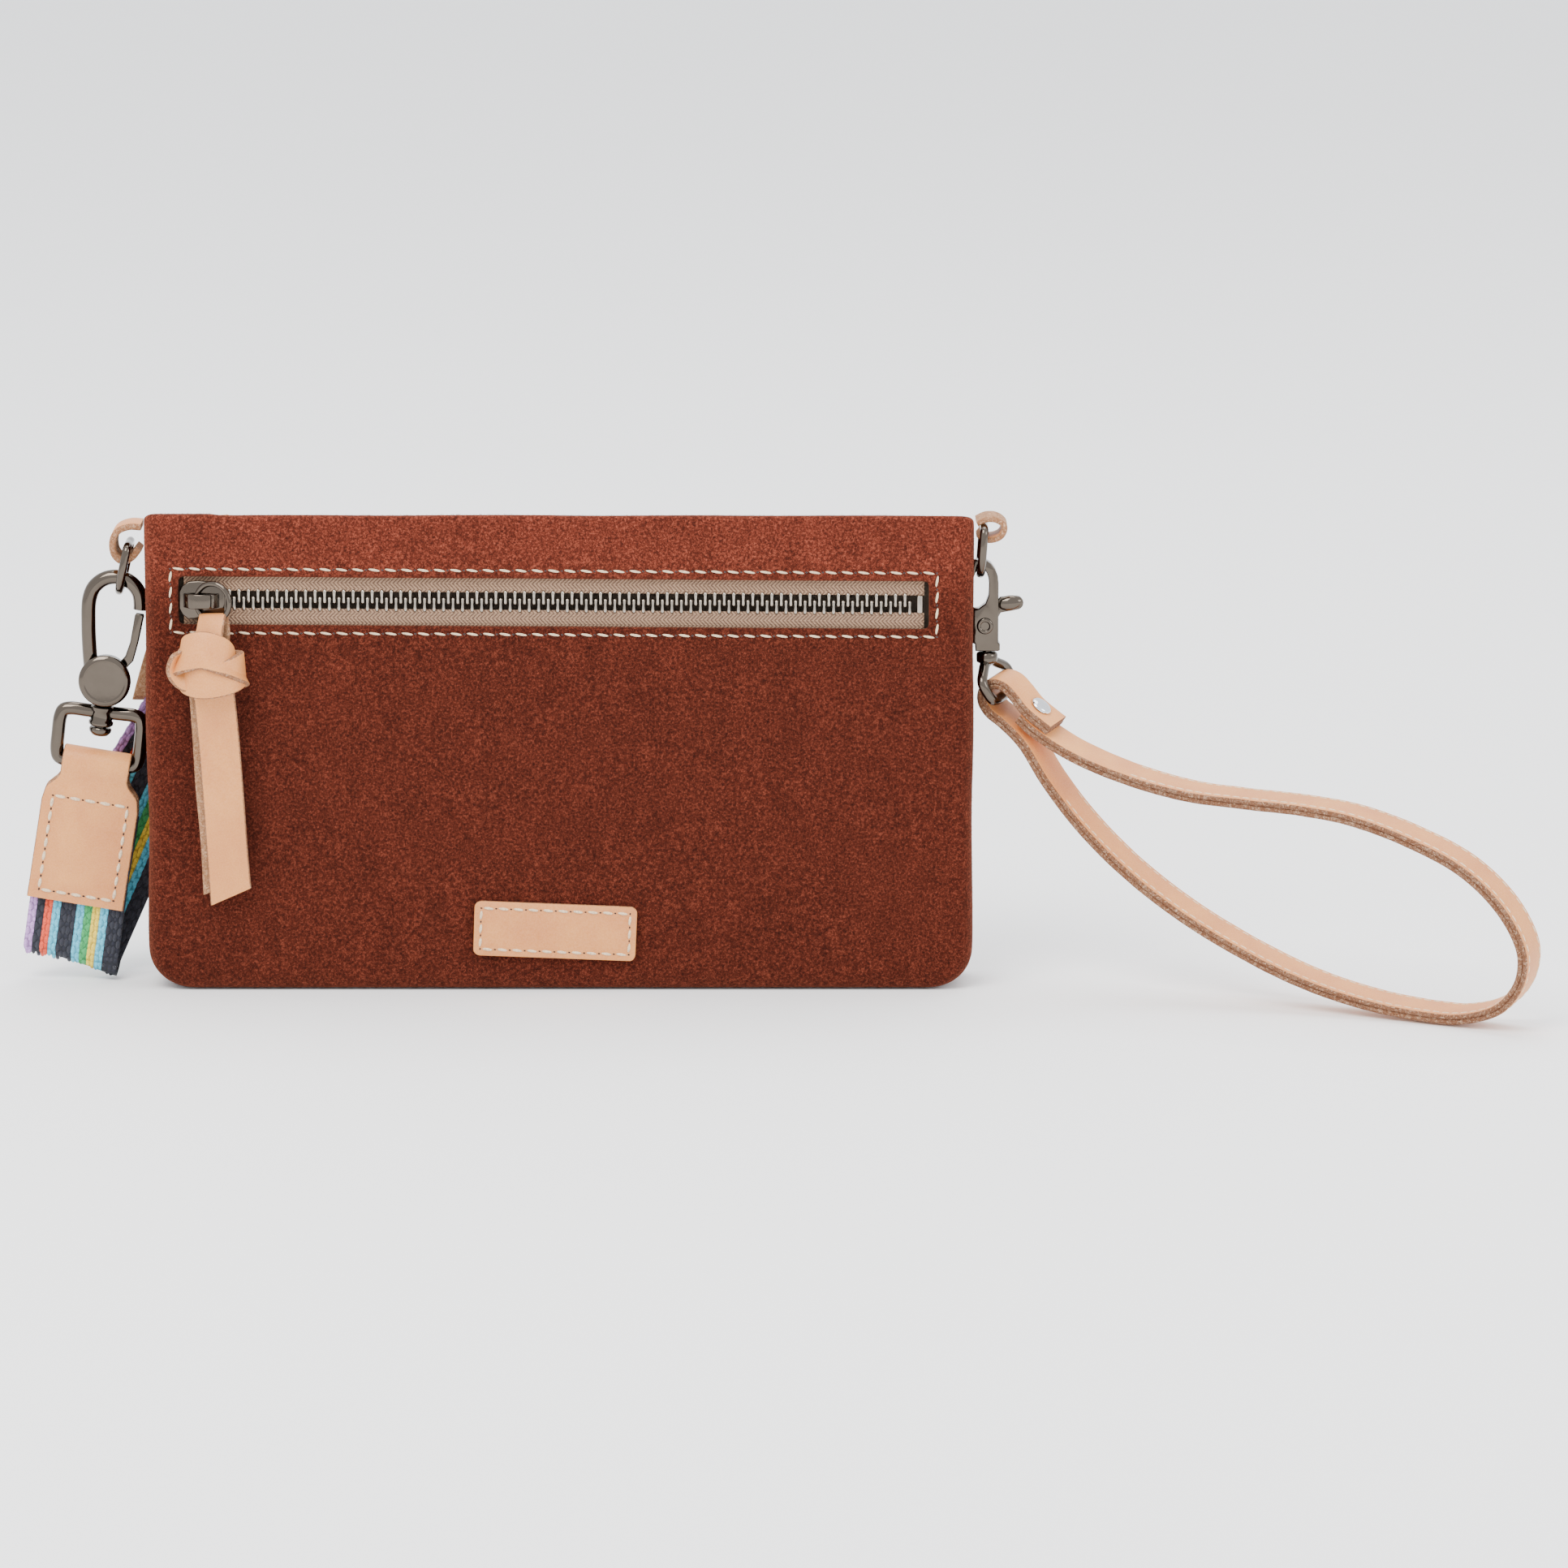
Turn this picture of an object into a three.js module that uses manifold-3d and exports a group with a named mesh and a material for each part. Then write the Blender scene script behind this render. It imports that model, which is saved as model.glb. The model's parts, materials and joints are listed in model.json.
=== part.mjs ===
// Suede wristlet wallet with a front zip pocket, a top zip, a leather wrist loop on a lobster
// clasp and a clip-on webbing strap. Millimetres, +Z up, +X to the wearer's right, -Y to the front.
// Origin: middle of the flat bottom.
import * as THREE from 'three';
import { mergeVertices } from 'three/addons/utils/BufferGeometryUtils.js';
import Module from 'manifold-3d';

const wasm = await Module();
wasm.setup();

// ---- driving dimensions ----
const GAP = 0.3; // between touching pieces
const BAG_HALF_WIDTH = 120;
const FRONT_HEIGHT = 139.5;
const BACK_HEIGHT = 134.5;
const SUEDE = 1.6;
const HEM = 2.4; // doubled suede along the mouth
const HEM_DEPTH = 8;
const SEAM_Y = 3; // where the front and back panels meet
const SIDE_FOLD = 6.4; // how far the side seam is drawn in
const CORNER = 3.5; // radius of the upright edges
// height, half width, half depth and side fold of the outer skin, bottom to top
const SKIN = [
  [0, 109, 10.5, 0],
  [2.2, 114.5, 12.4, 0],
  [6, 118.4, 13, 0.6],
  [12, 120, 13, 1.8],
  [40, 120, 12.8, 4],
  [80, 120, 11.6, SIDE_FOLD],
  [FRONT_HEIGHT, 120, 9.4, SIDE_FOLD],
];
const LINING = 0.6;
const LEATHER = 1.8;
const FRONT_LEAN = Math.atan((11.6 - 9.4) / (FRONT_HEIGHT - 80));

const ZIP = {
  x: -1.5,
  frontZ: 114.2,
  topZ: 127,
  roll: THREE.MathUtils.degToRad(0.4),
  window: [-108.3, 108.3, 6.8], // left, right, half height
  pitch: 2.75,
  teeth: 75,
  toothTip: -0.9, // how far a tooth crosses the middle
  toothFoot: 1.6,
  rowEdge: 3.05,
  toothThick: 2.4,
  rowStart: -103.4,
  tape: [3.35, 13.5, 0.8], // inner edge, outer edge, thickness
  sliderStart: -108.1,
  sliderLength: 13.5,
};
const RING_RADIUS = 5.4; // of a zip's pull ring, to the middle of its wire
const RING_WIRE = 0.8;
const CROWN_X = 5.0; // where a pull ring goes through its slider's crown
const CROWN_Y = -3.85;

const D_HALF = 7.5;
const D_DEPTH = 14;
const D_WIRE = 1.3;
const LEFT_D = { bow: [-127.7, 0, 116.0], lean: THREE.MathUtils.degToRad(12) };
const RIGHT_D = { bow: [121.9, 0, 121.0], lean: THREE.MathUtils.degToRad(4) };
const TAB_WIDTH = 10.5;

const HOOK_CENTRE = [-132.3, 0, 89.8];
const HOOK_ROLL = THREE.MathUtils.degToRad(7);
const HOOK_WIRE = 2.15;
const BOSS_RADIUS = 7;
const CAP_RADIUS = 7.6;
const RING_BAR_Z = -25.15; // lower bar of the square ring, below the boss centre
const RING_TOP_Z = -9.85;
const RING_HALF = 11.9;
const RING_BAR = 2;
const STRAP_ROLL = THREE.MathUtils.degToRad(2.5);
const STRAP_WIDTH = 28;
const WEBBING = 1.3;
const TAB_LENGTH = 42;
const FAR_CENTRE = [71.2, 32, 4.8];

const CLASP = [123.3, 0, 105.9];
const STEM_X = 124.0 - CLASP[0];
const EYE_BAR = new THREE.Vector3(129, 0, 85);
const EYE_WIRE = 1.5;
const LOOP_TURN = THREE.MathUtils.degToRad(25);
const LOOP_TILT = THREE.MathUtils.degToRad(5);
const LOOP_WIDTH = 12;
const LOOP_THICK = 3.2;

// ---- finishes ----
const FINISH = {
  suede: [0x7b3a29, 0.95, 0],
  lining: [0x6f6357, 0.9, 0],
  tape: [0xa8917c, 0.9, 0],
  teeth: [0xb9b4a8, 0.25, 1],
  gunmetal: [0x55524e, 0.15, 1],
  leather: [0xe3bd94, 0.6, 0],
  webbing: [0x1f2333, 0.85, 0],
  rivet: [0xc9ccd0, 0.2, 1],
};

// ---- helpers ----
const wallet = new THREE.Group();

/** A bare, merged copy of a geometry whose faces point outwards. */
function bare(geometry) {
  const plain = geometry.clone();
  for (const key of Object.keys(plain.attributes)) if (key !== 'position') plain.deleteAttribute(key);
  const merged = mergeVertices(plain, 1e-4);
  return volumeOf(merged) < 0 ? flipped(merged) : merged;
}

function volumeOf(geometry) {
  const p = geometry.attributes.position;
  const index = geometry.index.array;
  const [a, b, c] = [new THREE.Vector3(), new THREE.Vector3(), new THREE.Vector3()];
  let sum = 0;
  for (let i = 0; i < index.length; i += 3) {
    a.fromBufferAttribute(p, index[i]);
    b.fromBufferAttribute(p, index[i + 1]);
    c.fromBufferAttribute(p, index[i + 2]);
    sum += a.dot(b.cross(c)) / 6;
  }
  return sum;
}

function flipped(geometry) {
  const turned = geometry.clone();
  const index = Array.from(geometry.index.array);
  for (let i = 0; i < index.length; i += 3) [index[i], index[i + 1]] = [index[i + 1], index[i]];
  turned.setIndex(index);
  return turned;
}

function solid(geometry) {
  const g = bare(geometry);
  const vertProperties = new Float32Array(g.attributes.position.array);
  const triVerts = new Uint32Array(g.index.array);
  return new wasm.Manifold(new wasm.Mesh({ numProp: 3, vertProperties, triVerts }));
}

function geometryOf(manifold) {
  const mesh = manifold.getMesh();
  const g = new THREE.BufferGeometry();
  g.setAttribute('position', new THREE.BufferAttribute(new Float32Array(mesh.vertProperties), 3));
  g.setIndex(Array.from(mesh.triVerts));
  return g;
}

const join = (...parts) => geometryOf(parts.map(solid).reduce((a, b) => a.add(b)));
const cut = (body, ...tools) => geometryOf(tools.map(solid).reduce((a, b) => a.subtract(b), solid(body)));
const common = (a, b) => geometryOf(solid(a).intersect(solid(b)));

function place(parent, name, geometry, finish) {
  const [color, roughness, metalness] = FINISH[finish];
  const mesh = new THREE.Mesh(bare(geometry), new THREE.MeshStandardMaterial({ color, roughness, metalness }));
  mesh.name = name;
  parent.add(mesh);
  return mesh;
}

function group(parent, position = [0, 0, 0], rotation = [0, 0, 0]) {
  const g = new THREE.Group();
  g.position.set(...position);
  g.rotation.set(...rotation);
  parent.add(g);
  return g;
}

function box(x0, x1, y0, y1, z0, z1) {
  const g = new THREE.BoxGeometry(x1 - x0, y1 - y0, z1 - z0);
  return g.translate((x0 + x1) / 2, (y0 + y1) / 2, (z0 + z1) / 2);
}

function outline(points) {
  return new THREE.Shape(points.map(([a, b]) => new THREE.Vector2(a, b)));
}

/** A plate whose outline lies in XZ and whose thickness runs from y0 to y1. */
function plateXZ(shape, y0, y1, curveSegments = 8) {
  const g = new THREE.ExtrudeGeometry(shape, { depth: y1 - y0, bevelEnabled: false, curveSegments });
  return g.rotateX(Math.PI / 2).translate(0, y1, 0);
}

/** A bar whose section lies in YZ and which runs from x0 to x1. */
function barX(shape, x0, x1, curveSegments = 8) {
  const g = new THREE.ExtrudeGeometry(shape, { depth: x1 - x0, bevelEnabled: false, curveSegments });
  const turn = new THREE.Matrix4().makeBasis(
    new THREE.Vector3(0, 1, 0),
    new THREE.Vector3(0, 0, 1),
    new THREE.Vector3(1, 0, 0),
  );
  return g.applyMatrix4(turn).translate(x0, 0, 0);
}

function pinZ(radius, z0, z1, x = 0, y = 0, sides = 16) {
  const g = new THREE.CylinderGeometry(radius, radius, z1 - z0, sides);
  return g.rotateX(Math.PI / 2).translate(x, y, (z0 + z1) / 2);
}

function pinY(radius, y0, y1, x = 0, z = 0, sides = 16) {
  return new THREE.CylinderGeometry(radius, radius, y1 - y0, sides).translate(x, (y0 + y1) / 2, z);
}

/** A closed wire loop through points. */
function wireLoop(points, radius, segments, sides = 8) {
  const curve = new THREE.CatmullRomCurve3(points, true, 'centripetal');
  return new THREE.TubeGeometry(curve, segments, radius, sides, true);
}

/** An open wire through points, with flat ends. */
function wire(points, radius, steps, sides = 8) {
  const section = new THREE.Shape().absarc(0, 0, radius, 0, Math.PI * 2);
  const extrudePath = new THREE.CatmullRomCurve3(points, false, 'centripetal');
  return new THREE.ExtrudeGeometry(section, { steps, curveSegments: sides / 2, extrudePath });
}

/** Skins rings of equal point count together and closes both ends about their centres. */
function loft(rings) {
  const points = [];
  const index = [];
  const n = rings[0].length;
  for (const ring of rings) for (const p of ring) points.push(...p);
  for (let k = 0; k + 1 < rings.length; k += 1) {
    for (let i = 0; i < n; i += 1) {
      const [a, b] = [k * n + i, k * n + ((i + 1) % n)];
      index.push(a, b, b + n, a, b + n, a + n);
    }
  }
  for (const k of [0, rings.length - 1]) {
    const centre = rings[k].reduce((s, p) => s.map((v, j) => v + p[j] / n), [0, 0, 0]);
    const c = points.length / 3;
    points.push(...centre);
    for (let i = 0; i < n; i += 1) {
      const [a, b] = [k * n + i, k * n + ((i + 1) % n)];
      if (k === 0) index.push(b, a, c);
      else index.push(a, b, c);
    }
  }
  const g = new THREE.BufferGeometry();
  g.setAttribute('position', new THREE.Float32BufferAttribute(points, 3));
  g.setIndex(index);
  return g;
}

// ---- the bag ----
/** One level of the bag: a rounded rectangle whose short sides fold in. */
function bagRing(z, halfWidth, halfDepth, fold, radius) {
  const ring = [];
  const corners = [[1, -1], [1, 1], [-1, 1], [-1, -1]];
  corners.forEach(([sx, sy], k) => {
    const start = -Math.PI / 2 + (k * Math.PI) / 2;
    for (let i = 0; i <= 3; i += 1) {
      const t = start + (i / 3) * (Math.PI / 2);
      const x = sx * (halfWidth - radius) + radius * Math.cos(t);
      ring.push([x, sy * (halfDepth - radius) + radius * Math.sin(t), z]);
    }
    if (k === 0) ring.push([halfWidth - fold, 0, z]);
    if (k === 2) ring.push([-halfWidth + fold, 0, z]);
  });
  return ring;
}

function between(rows, z) {
  const k = Math.max(1, rows.findIndex((row) => row[0] >= z));
  const t = (z - rows[k - 1][0]) / (rows[k][0] - rows[k - 1][0]);
  return rows[k].map((v, j) => rows[k - 1][j] + t * (v - rows[k - 1][j]));
}

function shell(height) {
  const levels = SKIN.slice(0, -1).concat([between(SKIN, height)]);
  const outer = levels.map(([z, w, d, f]) => bagRing(z, w, d, f, CORNER));
  const hem = height - HEM_DEPTH;
  const innerLevels = levels.slice(1, -1).concat([between(SKIN, hem)]);
  const inner = innerLevels.map(([z, w, d, f]) => bagRing(z, w - SUEDE, d - SUEDE, f, CORNER - SUEDE));
  inner[0] = inner[0].map(([x, y]) => [x, y, SUEDE]);
  for (const z of [hem + 0.6, height + 1]) {
    const [, w, d, f] = between(SKIN, Math.min(z, height));
    inner.push(bagRing(z, w - HEM, d - HEM, f, CORNER - HEM));
  }
  return cut(loft(outer), loft(inner));
}

function makeBag() {
  const far = 200;
  const zipWindow = plateXZ(outline([
    [ZIP.window[0], -ZIP.window[2]], [ZIP.window[1], -ZIP.window[2]],
    [ZIP.window[1], ZIP.window[2]], [ZIP.window[0], ZIP.window[2]],
  ]), -9, 4);
  zipWindow.rotateY(ZIP.roll).rotateX(-FRONT_LEAN).translate(ZIP.x, frontZipY(), ZIP.frontZ);
  const front = cut(shell(FRONT_HEIGHT), box(-far, far, SEAM_Y - GAP / 2, far, -far, far), zipWindow);
  place(wallet, 'front_panel', front, 'suede');
  const back = cut(shell(BACK_HEIGHT), box(-far, far, -far, SEAM_Y + GAP / 2, -far, far));
  const notch = box(-107, -92.5, SEAM_Y + 1, 20, BACK_HEIGHT - 5, BACK_HEIGHT + 1);
  place(wallet, 'back_panel', cut(back, notch), 'suede');
}

function frontZipY() {
  const [, , depth] = between(SKIN, ZIP.frontZ);
  return -depth + SUEDE + GAP + ZIP.tape[2] / 2;
}

/** A cloth pouch with an open mouth: outer and inner boxes that taper with height. */
function pouch(levels, wall, mouth) {
  const ring = (z, x, y0, y1) => [[-x, y0, z], [x, y0, z], [x, y1, z], [-x, y1, z]];
  const outer = loft(levels.map(([z, x, y0, y1]) => ring(z, x, y0, y1)));
  const inner = loft(levels.map(([z, x, y0, y1], k) => {
    const level = k === 0 ? z + wall : z + (k === levels.length - 1 ? mouth : 0);
    return ring(level, x - wall, y0 + wall, y1 - wall);
  }));
  return cut(outer, inner);
}

function makeLinings() {
  const slope = Math.tan(FRONT_LEAN);
  const pocketFront = (z) => frontZipY() + ZIP.tape[2] / 2 + GAP - slope * (ZIP.frontZ - z);
  const thick = 5.8;
  const pocketBack = (z) => pocketFront(z) + thick;
  const pocketLevels = [16, 123.5].map((z) => [z, 112, pocketFront(z), pocketBack(z)]);
  const pocketMouth = box(-110.4, 107, -14, -3.2, 106.4, 121.8);
  const sealed = pouch(pocketLevels, LINING, -LINING);
  place(wallet, 'front_pocket_lining', cut(sealed, pocketMouth), 'lining');
  const backInner = (z) => between(SKIN, z)[2] - SUEDE - GAP;
  const mainLevels = [[8, 20], [20, 20], [80, 80], [123.5, 123.5]].map(([z, at]) => (
    [z, 111.2, pocketBack(at) + GAP, backInner(at)]));
  place(wallet, 'main_lining', pouch(mainLevels, LINING, 2), 'lining');
  const slip = [[32, 32], [80, 80], [98, 98]].map(([z, at]) => {
    const back = backInner(at) - LINING - GAP;
    return [[-58, back - LINING, z], [58, back - LINING, z], [58, back, z], [-58, back, z]];
  });
  place(wallet, 'slip_pocket', loft(slip), 'lining');
}

function roundedRect(halfWidth, halfHeight, radius) {
  const s = new THREE.Shape();
  const [w, h, r] = [halfWidth, halfHeight, radius];
  s.moveTo(-w + r, -h);
  s.lineTo(w - r, -h).absarc(w - r, -h + r, r, -Math.PI / 2, 0);
  s.lineTo(w, h - r).absarc(w - r, h - r, r, 0, Math.PI / 2);
  s.lineTo(-w + r, h).absarc(-w + r, h - r, r, Math.PI / 2, Math.PI);
  s.lineTo(-w, -h + r).absarc(-w + r, -h + r, r, Math.PI, Math.PI * 1.5);
  return s;
}

function makeLabel() {
  const g = group(wallet, [-1.6, -13.0, 17.8], [0, THREE.MathUtils.degToRad(2.3), 0]);
  place(g, 'label_patch', plateXZ(roundedRect(23.65, 8.1, 1.9), -GAP - 1.5, -GAP, 3), 'leather');
}

// ---- zips: local x along the chain, -y outwards, z across ----
function toothRow(side) {
  const shift = side > 0 ? 0 : ZIP.pitch / 2;
  const start = ZIP.rowStart + shift;
  const end = start + ZIP.teeth * ZIP.pitch;
  const points = [[start, ZIP.rowEdge], [end, ZIP.rowEdge], [end, ZIP.toothFoot]];
  for (let i = ZIP.teeth - 1; i >= 0; i -= 1) {
    const middle = start + (i + 0.5) * ZIP.pitch;
    points.push([middle + 0.54, ZIP.toothFoot], [middle + 0.54, ZIP.toothTip]);
    points.push([middle - 0.54, ZIP.toothTip], [middle - 0.54, ZIP.toothFoot]);
  }
  points.push([start, ZIP.toothFoot]);
  const row = outline(points.map(([x, z]) => [x, side * z]));
  return plateXZ(row, -ZIP.toothThick / 2, ZIP.toothThick / 2);
}

function makeSlider() {
  const plate = (y0, y1) => plateXZ(outline([
    [0, -3.2], [2.5, -5.7], [10.5, -5.4], [ZIP.sliderLength, -4.3],
    [ZIP.sliderLength, 4.3], [10.5, 5.4], [2.5, 5.7], [0, 3.2],
  ]), y0, y1);
  const post = box(0.6, 2.7, -1.6, 1.6, -1.1, 1.1);
  const rails = [];
  for (const s of [-1, 1]) {
    const [z0, z1] = s > 0 ? [3.4, 4.3] : [-4.3, -3.4];
    rails.push(box(3.2, ZIP.sliderLength, -1.6, -0.75, z0, z1));
    rails.push(box(3.2, ZIP.sliderLength, 0.75, 1.6, z0, z1));
  }
  const arch = outline([
    [1.2, -2.6], [2.2, -6.6], [9.5, -6.6], [11.8, -2.6], [9.6, -2.6], [8.4, -5.2], [3.8, -5.2], [3.2, -2.6],
  ]);
  const crown = new THREE.ExtrudeGeometry(arch, { depth: 4.2, bevelEnabled: false }).translate(0, 0, -2.1);
  return join(plate(-2.8, -1.5), plate(1.5, 2.5), post, ...rails, crown);
}

function makeZip(parent, prefix, rows) {
  const [inner, outer, thick] = ZIP.tape;
  for (const [side, row] of rows) {
    const reach = row.reach ?? outer;
    const [z0, z1] = side > 0 ? [inner, reach] : [-reach, -inner];
    place(parent, `${prefix}_${row.name}_tape`, box(-107, 107, -thick / 2, thick / 2, z0, z1), 'tape');
    place(parent, `${prefix}_${row.name}_teeth`, toothRow(side), 'teeth');
    const [s0, s1] = side > 0 ? [0.9, 3.05] : [-3.05, -0.9];
    place(parent, `${prefix}_${row.name}_top_stop`, box(-104.9, -103.75, -1.15, 1.15, s0, s1), 'teeth');
  }
  place(parent, `${prefix}_bottom_stop`, box(105, 106.6, -1.3, 1.3, -2.6, 2.6), 'teeth');
  const slider = group(parent, [ZIP.sliderStart, 0, 0]);
  place(slider, `${prefix}_slider`, makeSlider(), 'gunmetal');
  return slider;
}

function pullRing(parent, name) {
  const ring = new THREE.TorusGeometry(RING_RADIUS, RING_WIRE, 8, 28);
  place(parent, name, ring.rotateX(Math.PI / 2).translate(RING_RADIUS, 0, 0), 'gunmetal');
}

/** The folded strap that holds a pull ring's wire: section in YZ round the origin, opening down. */
function pullFold(thick, drop) {
  const inner = RING_WIRE + 0.4;
  const outer = inner + thick;
  const crest = 0.5;
  const s = new THREE.Shape();
  s.moveTo(-outer, -drop).lineTo(-outer, crest);
  s.absarc(0, crest, outer, Math.PI, 0, true);
  s.lineTo(outer, -drop).lineTo(inner, -drop).lineTo(inner, crest);
  s.absarc(0, crest, inner, 0, Math.PI, false);
  s.lineTo(-inner, -drop);
  return barX(s, -2.6, 2.6, 5);
}

function tail(width, length, thick, slant, lean, y) {
  const half = width / 2;
  const g = plateXZ(outline([[-half, 0], [half, 0], [half, slant - length], [-half, -length]]), y, y + thick);
  return g.rotateY(lean);
}

function makeFrontZip() {
  const lean = group(wallet, [ZIP.x, frontZipY(), ZIP.frontZ], [-FRONT_LEAN, 0, 0]);
  const zip = group(lean, [0, 0, 0], [0, ZIP.roll, 0]);
  const slider = makeZip(zip, 'front_zip', [[1, { name: 'upper' }], [-1, { name: 'lower' }]]);
  const lift = THREE.MathUtils.degToRad(25);
  const ring = group(slider, [CROWN_X, CROWN_Y, 0], [0, 0, -lift]);
  pullRing(ring, 'front_pull_ring');
  const hold = new THREE.Vector3(RING_RADIUS, 0, -RING_RADIUS);
  wallet.updateMatrixWorld(true);
  const at = ring.localToWorld(hold);
  const knot = new THREE.SphereGeometry(1, 14, 10).scale(10.4, 6.2, 9.6).translate(-1.9, -2.8, -10.9);
  const fold = pullFold(1.3, 3).rotateZ(-lift);
  const front = tail(11.8, 64, 2, 5, THREE.MathUtils.degToRad(-3.7), -2.3).translate(-0.6, -2.4, -17.5);
  const behind = tail(11.8, 61, 2, 4, THREE.MathUtils.degToRad(-1.6), 0).translate(-1.2, -2.4, -17.5);
  const pull = group(wallet, at.toArray());
  place(pull, 'front_pull', join(knot, fold, front, behind), 'leather');
}

function makeTopZip() {
  const reach = 6.6;
  const zip = group(wallet, [ZIP.x, 0, ZIP.topZ], [-Math.PI / 2, 0, 0]);
  const slider = makeZip(zip, 'top_zip', [[1, { name: 'back', reach }], [-1, { name: 'front', reach }]]);
  const lift = THREE.MathUtils.degToRad(25);
  const ring = group(slider, [CROWN_X, CROWN_Y, 0], [0, 0, -lift]);
  pullRing(ring, 'top_pull_ring');
  wallet.updateMatrixWorld(true);
  const at = ring.localToWorld(new THREE.Vector3(RING_RADIUS, 0, RING_RADIUS));
  const pull = group(wallet, at.toArray());
  const thin = 1.2;
  const fold = pullFold(thin, 3).rotateX(Math.PI / 2).rotateY(-lift);
  const over = barX(outline([
    [3.0, -2.6], [3.0, 2.6], [7.6, 1.4], [11.2, -2.0], [11.2, -9], [7.6, -9], [7.0, -2.3], [5.6, -1.5],
  ]), -3.3, 3.3);
  const knot = new THREE.SphereGeometry(1, 14, 10).scale(9.6, 5.2, 9.6).translate(-7, 11.8, -16);
  const lean = THREE.MathUtils.degToRad(18);
  const near = tail(11.8, 30, 1.7, 4, lean, 0).translate(-11.6, 7.4, -24);
  const outerTail = tail(11.8, 32, 1.7, 4, lean - 0.04, 0).translate(-11, 8.9, -24);
  place(pull, 'top_pull', join(fold, over, knot, near, outerTail), 'leather');
}

// ---- side tabs and D-rings ----
function dRing(name, bow, lean) {
  const g = group(wallet, bow, [0, lean, 0]);
  const points = [[0, 0], [4.4, 1.1], [6.7, 3.6], [D_HALF, 7], [D_HALF, 10.5], [6.9, 13.4], [5.2, D_DEPTH], [0, D_DEPTH]];
  const right = points.map(([y, z]) => new THREE.Vector3(0, y, z));
  const left = points.slice(1, -1).reverse().map(([y, z]) => new THREE.Vector3(0, -y, z));
  place(g, name, wireLoop(right.concat(left), D_WIRE, 36), 'gunmetal');
}

function sideTab(name, centre, radii, holeCentre, holeRadii, neck) {
  const shape = new THREE.Shape().absellipse(...centre, ...radii, 0, Math.PI * 2);
  const hole = new THREE.Shape().absellipse(...holeCentre, ...holeRadii, 0, Math.PI * 2);
  const half = TAB_WIDTH / 2;
  const loop = join(plateXZ(shape, -half, half, 20), box(neck[0], neck[1], -half, half, neck[2], neck[3]));
  place(wallet, name, cut(loop, plateXZ(hole, -half - 1, half + 1, 14)), 'leather');
}

// ---- strap hook: local origin at the boss, z towards the hook's bow, -y to the front ----
function strapHook(parent, prefix) {
  const bowCentre = 22.9;
  const bow = [[-5.0, 5.0], [-6.2, 13], [-7.1, bowCentre]];
  for (let i = 1; i <= 6; i += 1) {
    const t = Math.PI - (i / 6) * Math.PI;
    bow.push([0.4 + 7.5 * Math.cos(t), bowCentre + 7.5 * Math.sin(t)]);
  }
  bow.push([7.95, 21.6]);
  const frame = wire(bow.map(([x, z]) => new THREE.Vector3(x, 0, z)), HOOK_WIRE, 26);
  const boss = pinY(BOSS_RADIUS, -2.6, 2.6, 0, 0, 20);
  const slot = box(0.2, 9, -1.5, 1.5, -2, 9);
  place(parent, `${prefix}_hook_body`, cut(join(frame, boss), slot), 'gunmetal');
  const cap = new THREE.LatheGeometry([[0, 0], [CAP_RADIUS, 0], [CAP_RADIUS, 0.9], [CAP_RADIUS - 0.9, 1.7], [0, 1.7]]
    .map(([r, h]) => new THREE.Vector2(r, h)), 20);
  place(parent, `${prefix}_hook_cap`, cap.rotateX(Math.PI).translate(0, -2.9, 0), 'gunmetal');
  const gate = outline([[1.9, 1.4], [3.2, 0.7], [7.4, 6.2], [9.2, 20.6], [6.6, 20.6], [5.0, 7.6], [1.9, 3.6]]);
  place(parent, `${prefix}_gate`, plateXZ(gate, -1.2, 1.2), 'gunmetal');
  place(parent, `${prefix}_gate_spring`, box(0.5, 1.1, -0.6, 0.6, -0.6, 4.4), 'teeth');
  const pin = new THREE.LatheGeometry([[0, -7.35], [1.7, -7.35], [1.7, -14.4], [3, -14.6], [3, -15.8], [1.6, -16.8], [0, -16.8]]
    .map(([r, h]) => new THREE.Vector2(r, h)), 14);
  place(parent, `${prefix}_swivel_pin`, pin.rotateX(Math.PI / 2), 'gunmetal');
  const [w, z0, z1] = [RING_HALF, RING_BAR_Z, RING_TOP_Z];
  const [r, d] = [2.6, 0.7];
  const corners = [
    [w - r - 3, z0], [w - r, z0], [w - d, z0 + d], [w, z0 + r],
    [w, z1 - r], [w - d, z1 - d], [w - r, z1], [w - r - 3, z1],
  ];
  const loop = corners.concat([[0, z1]], corners.map(([x, z]) => [-x, z]).reverse(), [[0, z0]]);
  const ring = wireLoop(loop.map(([x, z]) => new THREE.Vector3(x, 0, z)), RING_BAR, 48);
  const barrel = pinZ(3.6, -13.8, -7.9);
  place(parent, `${prefix}_ring`, cut(join(ring, barrel), pinZ(2.05, -15, -6)), 'gunmetal');
}

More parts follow.
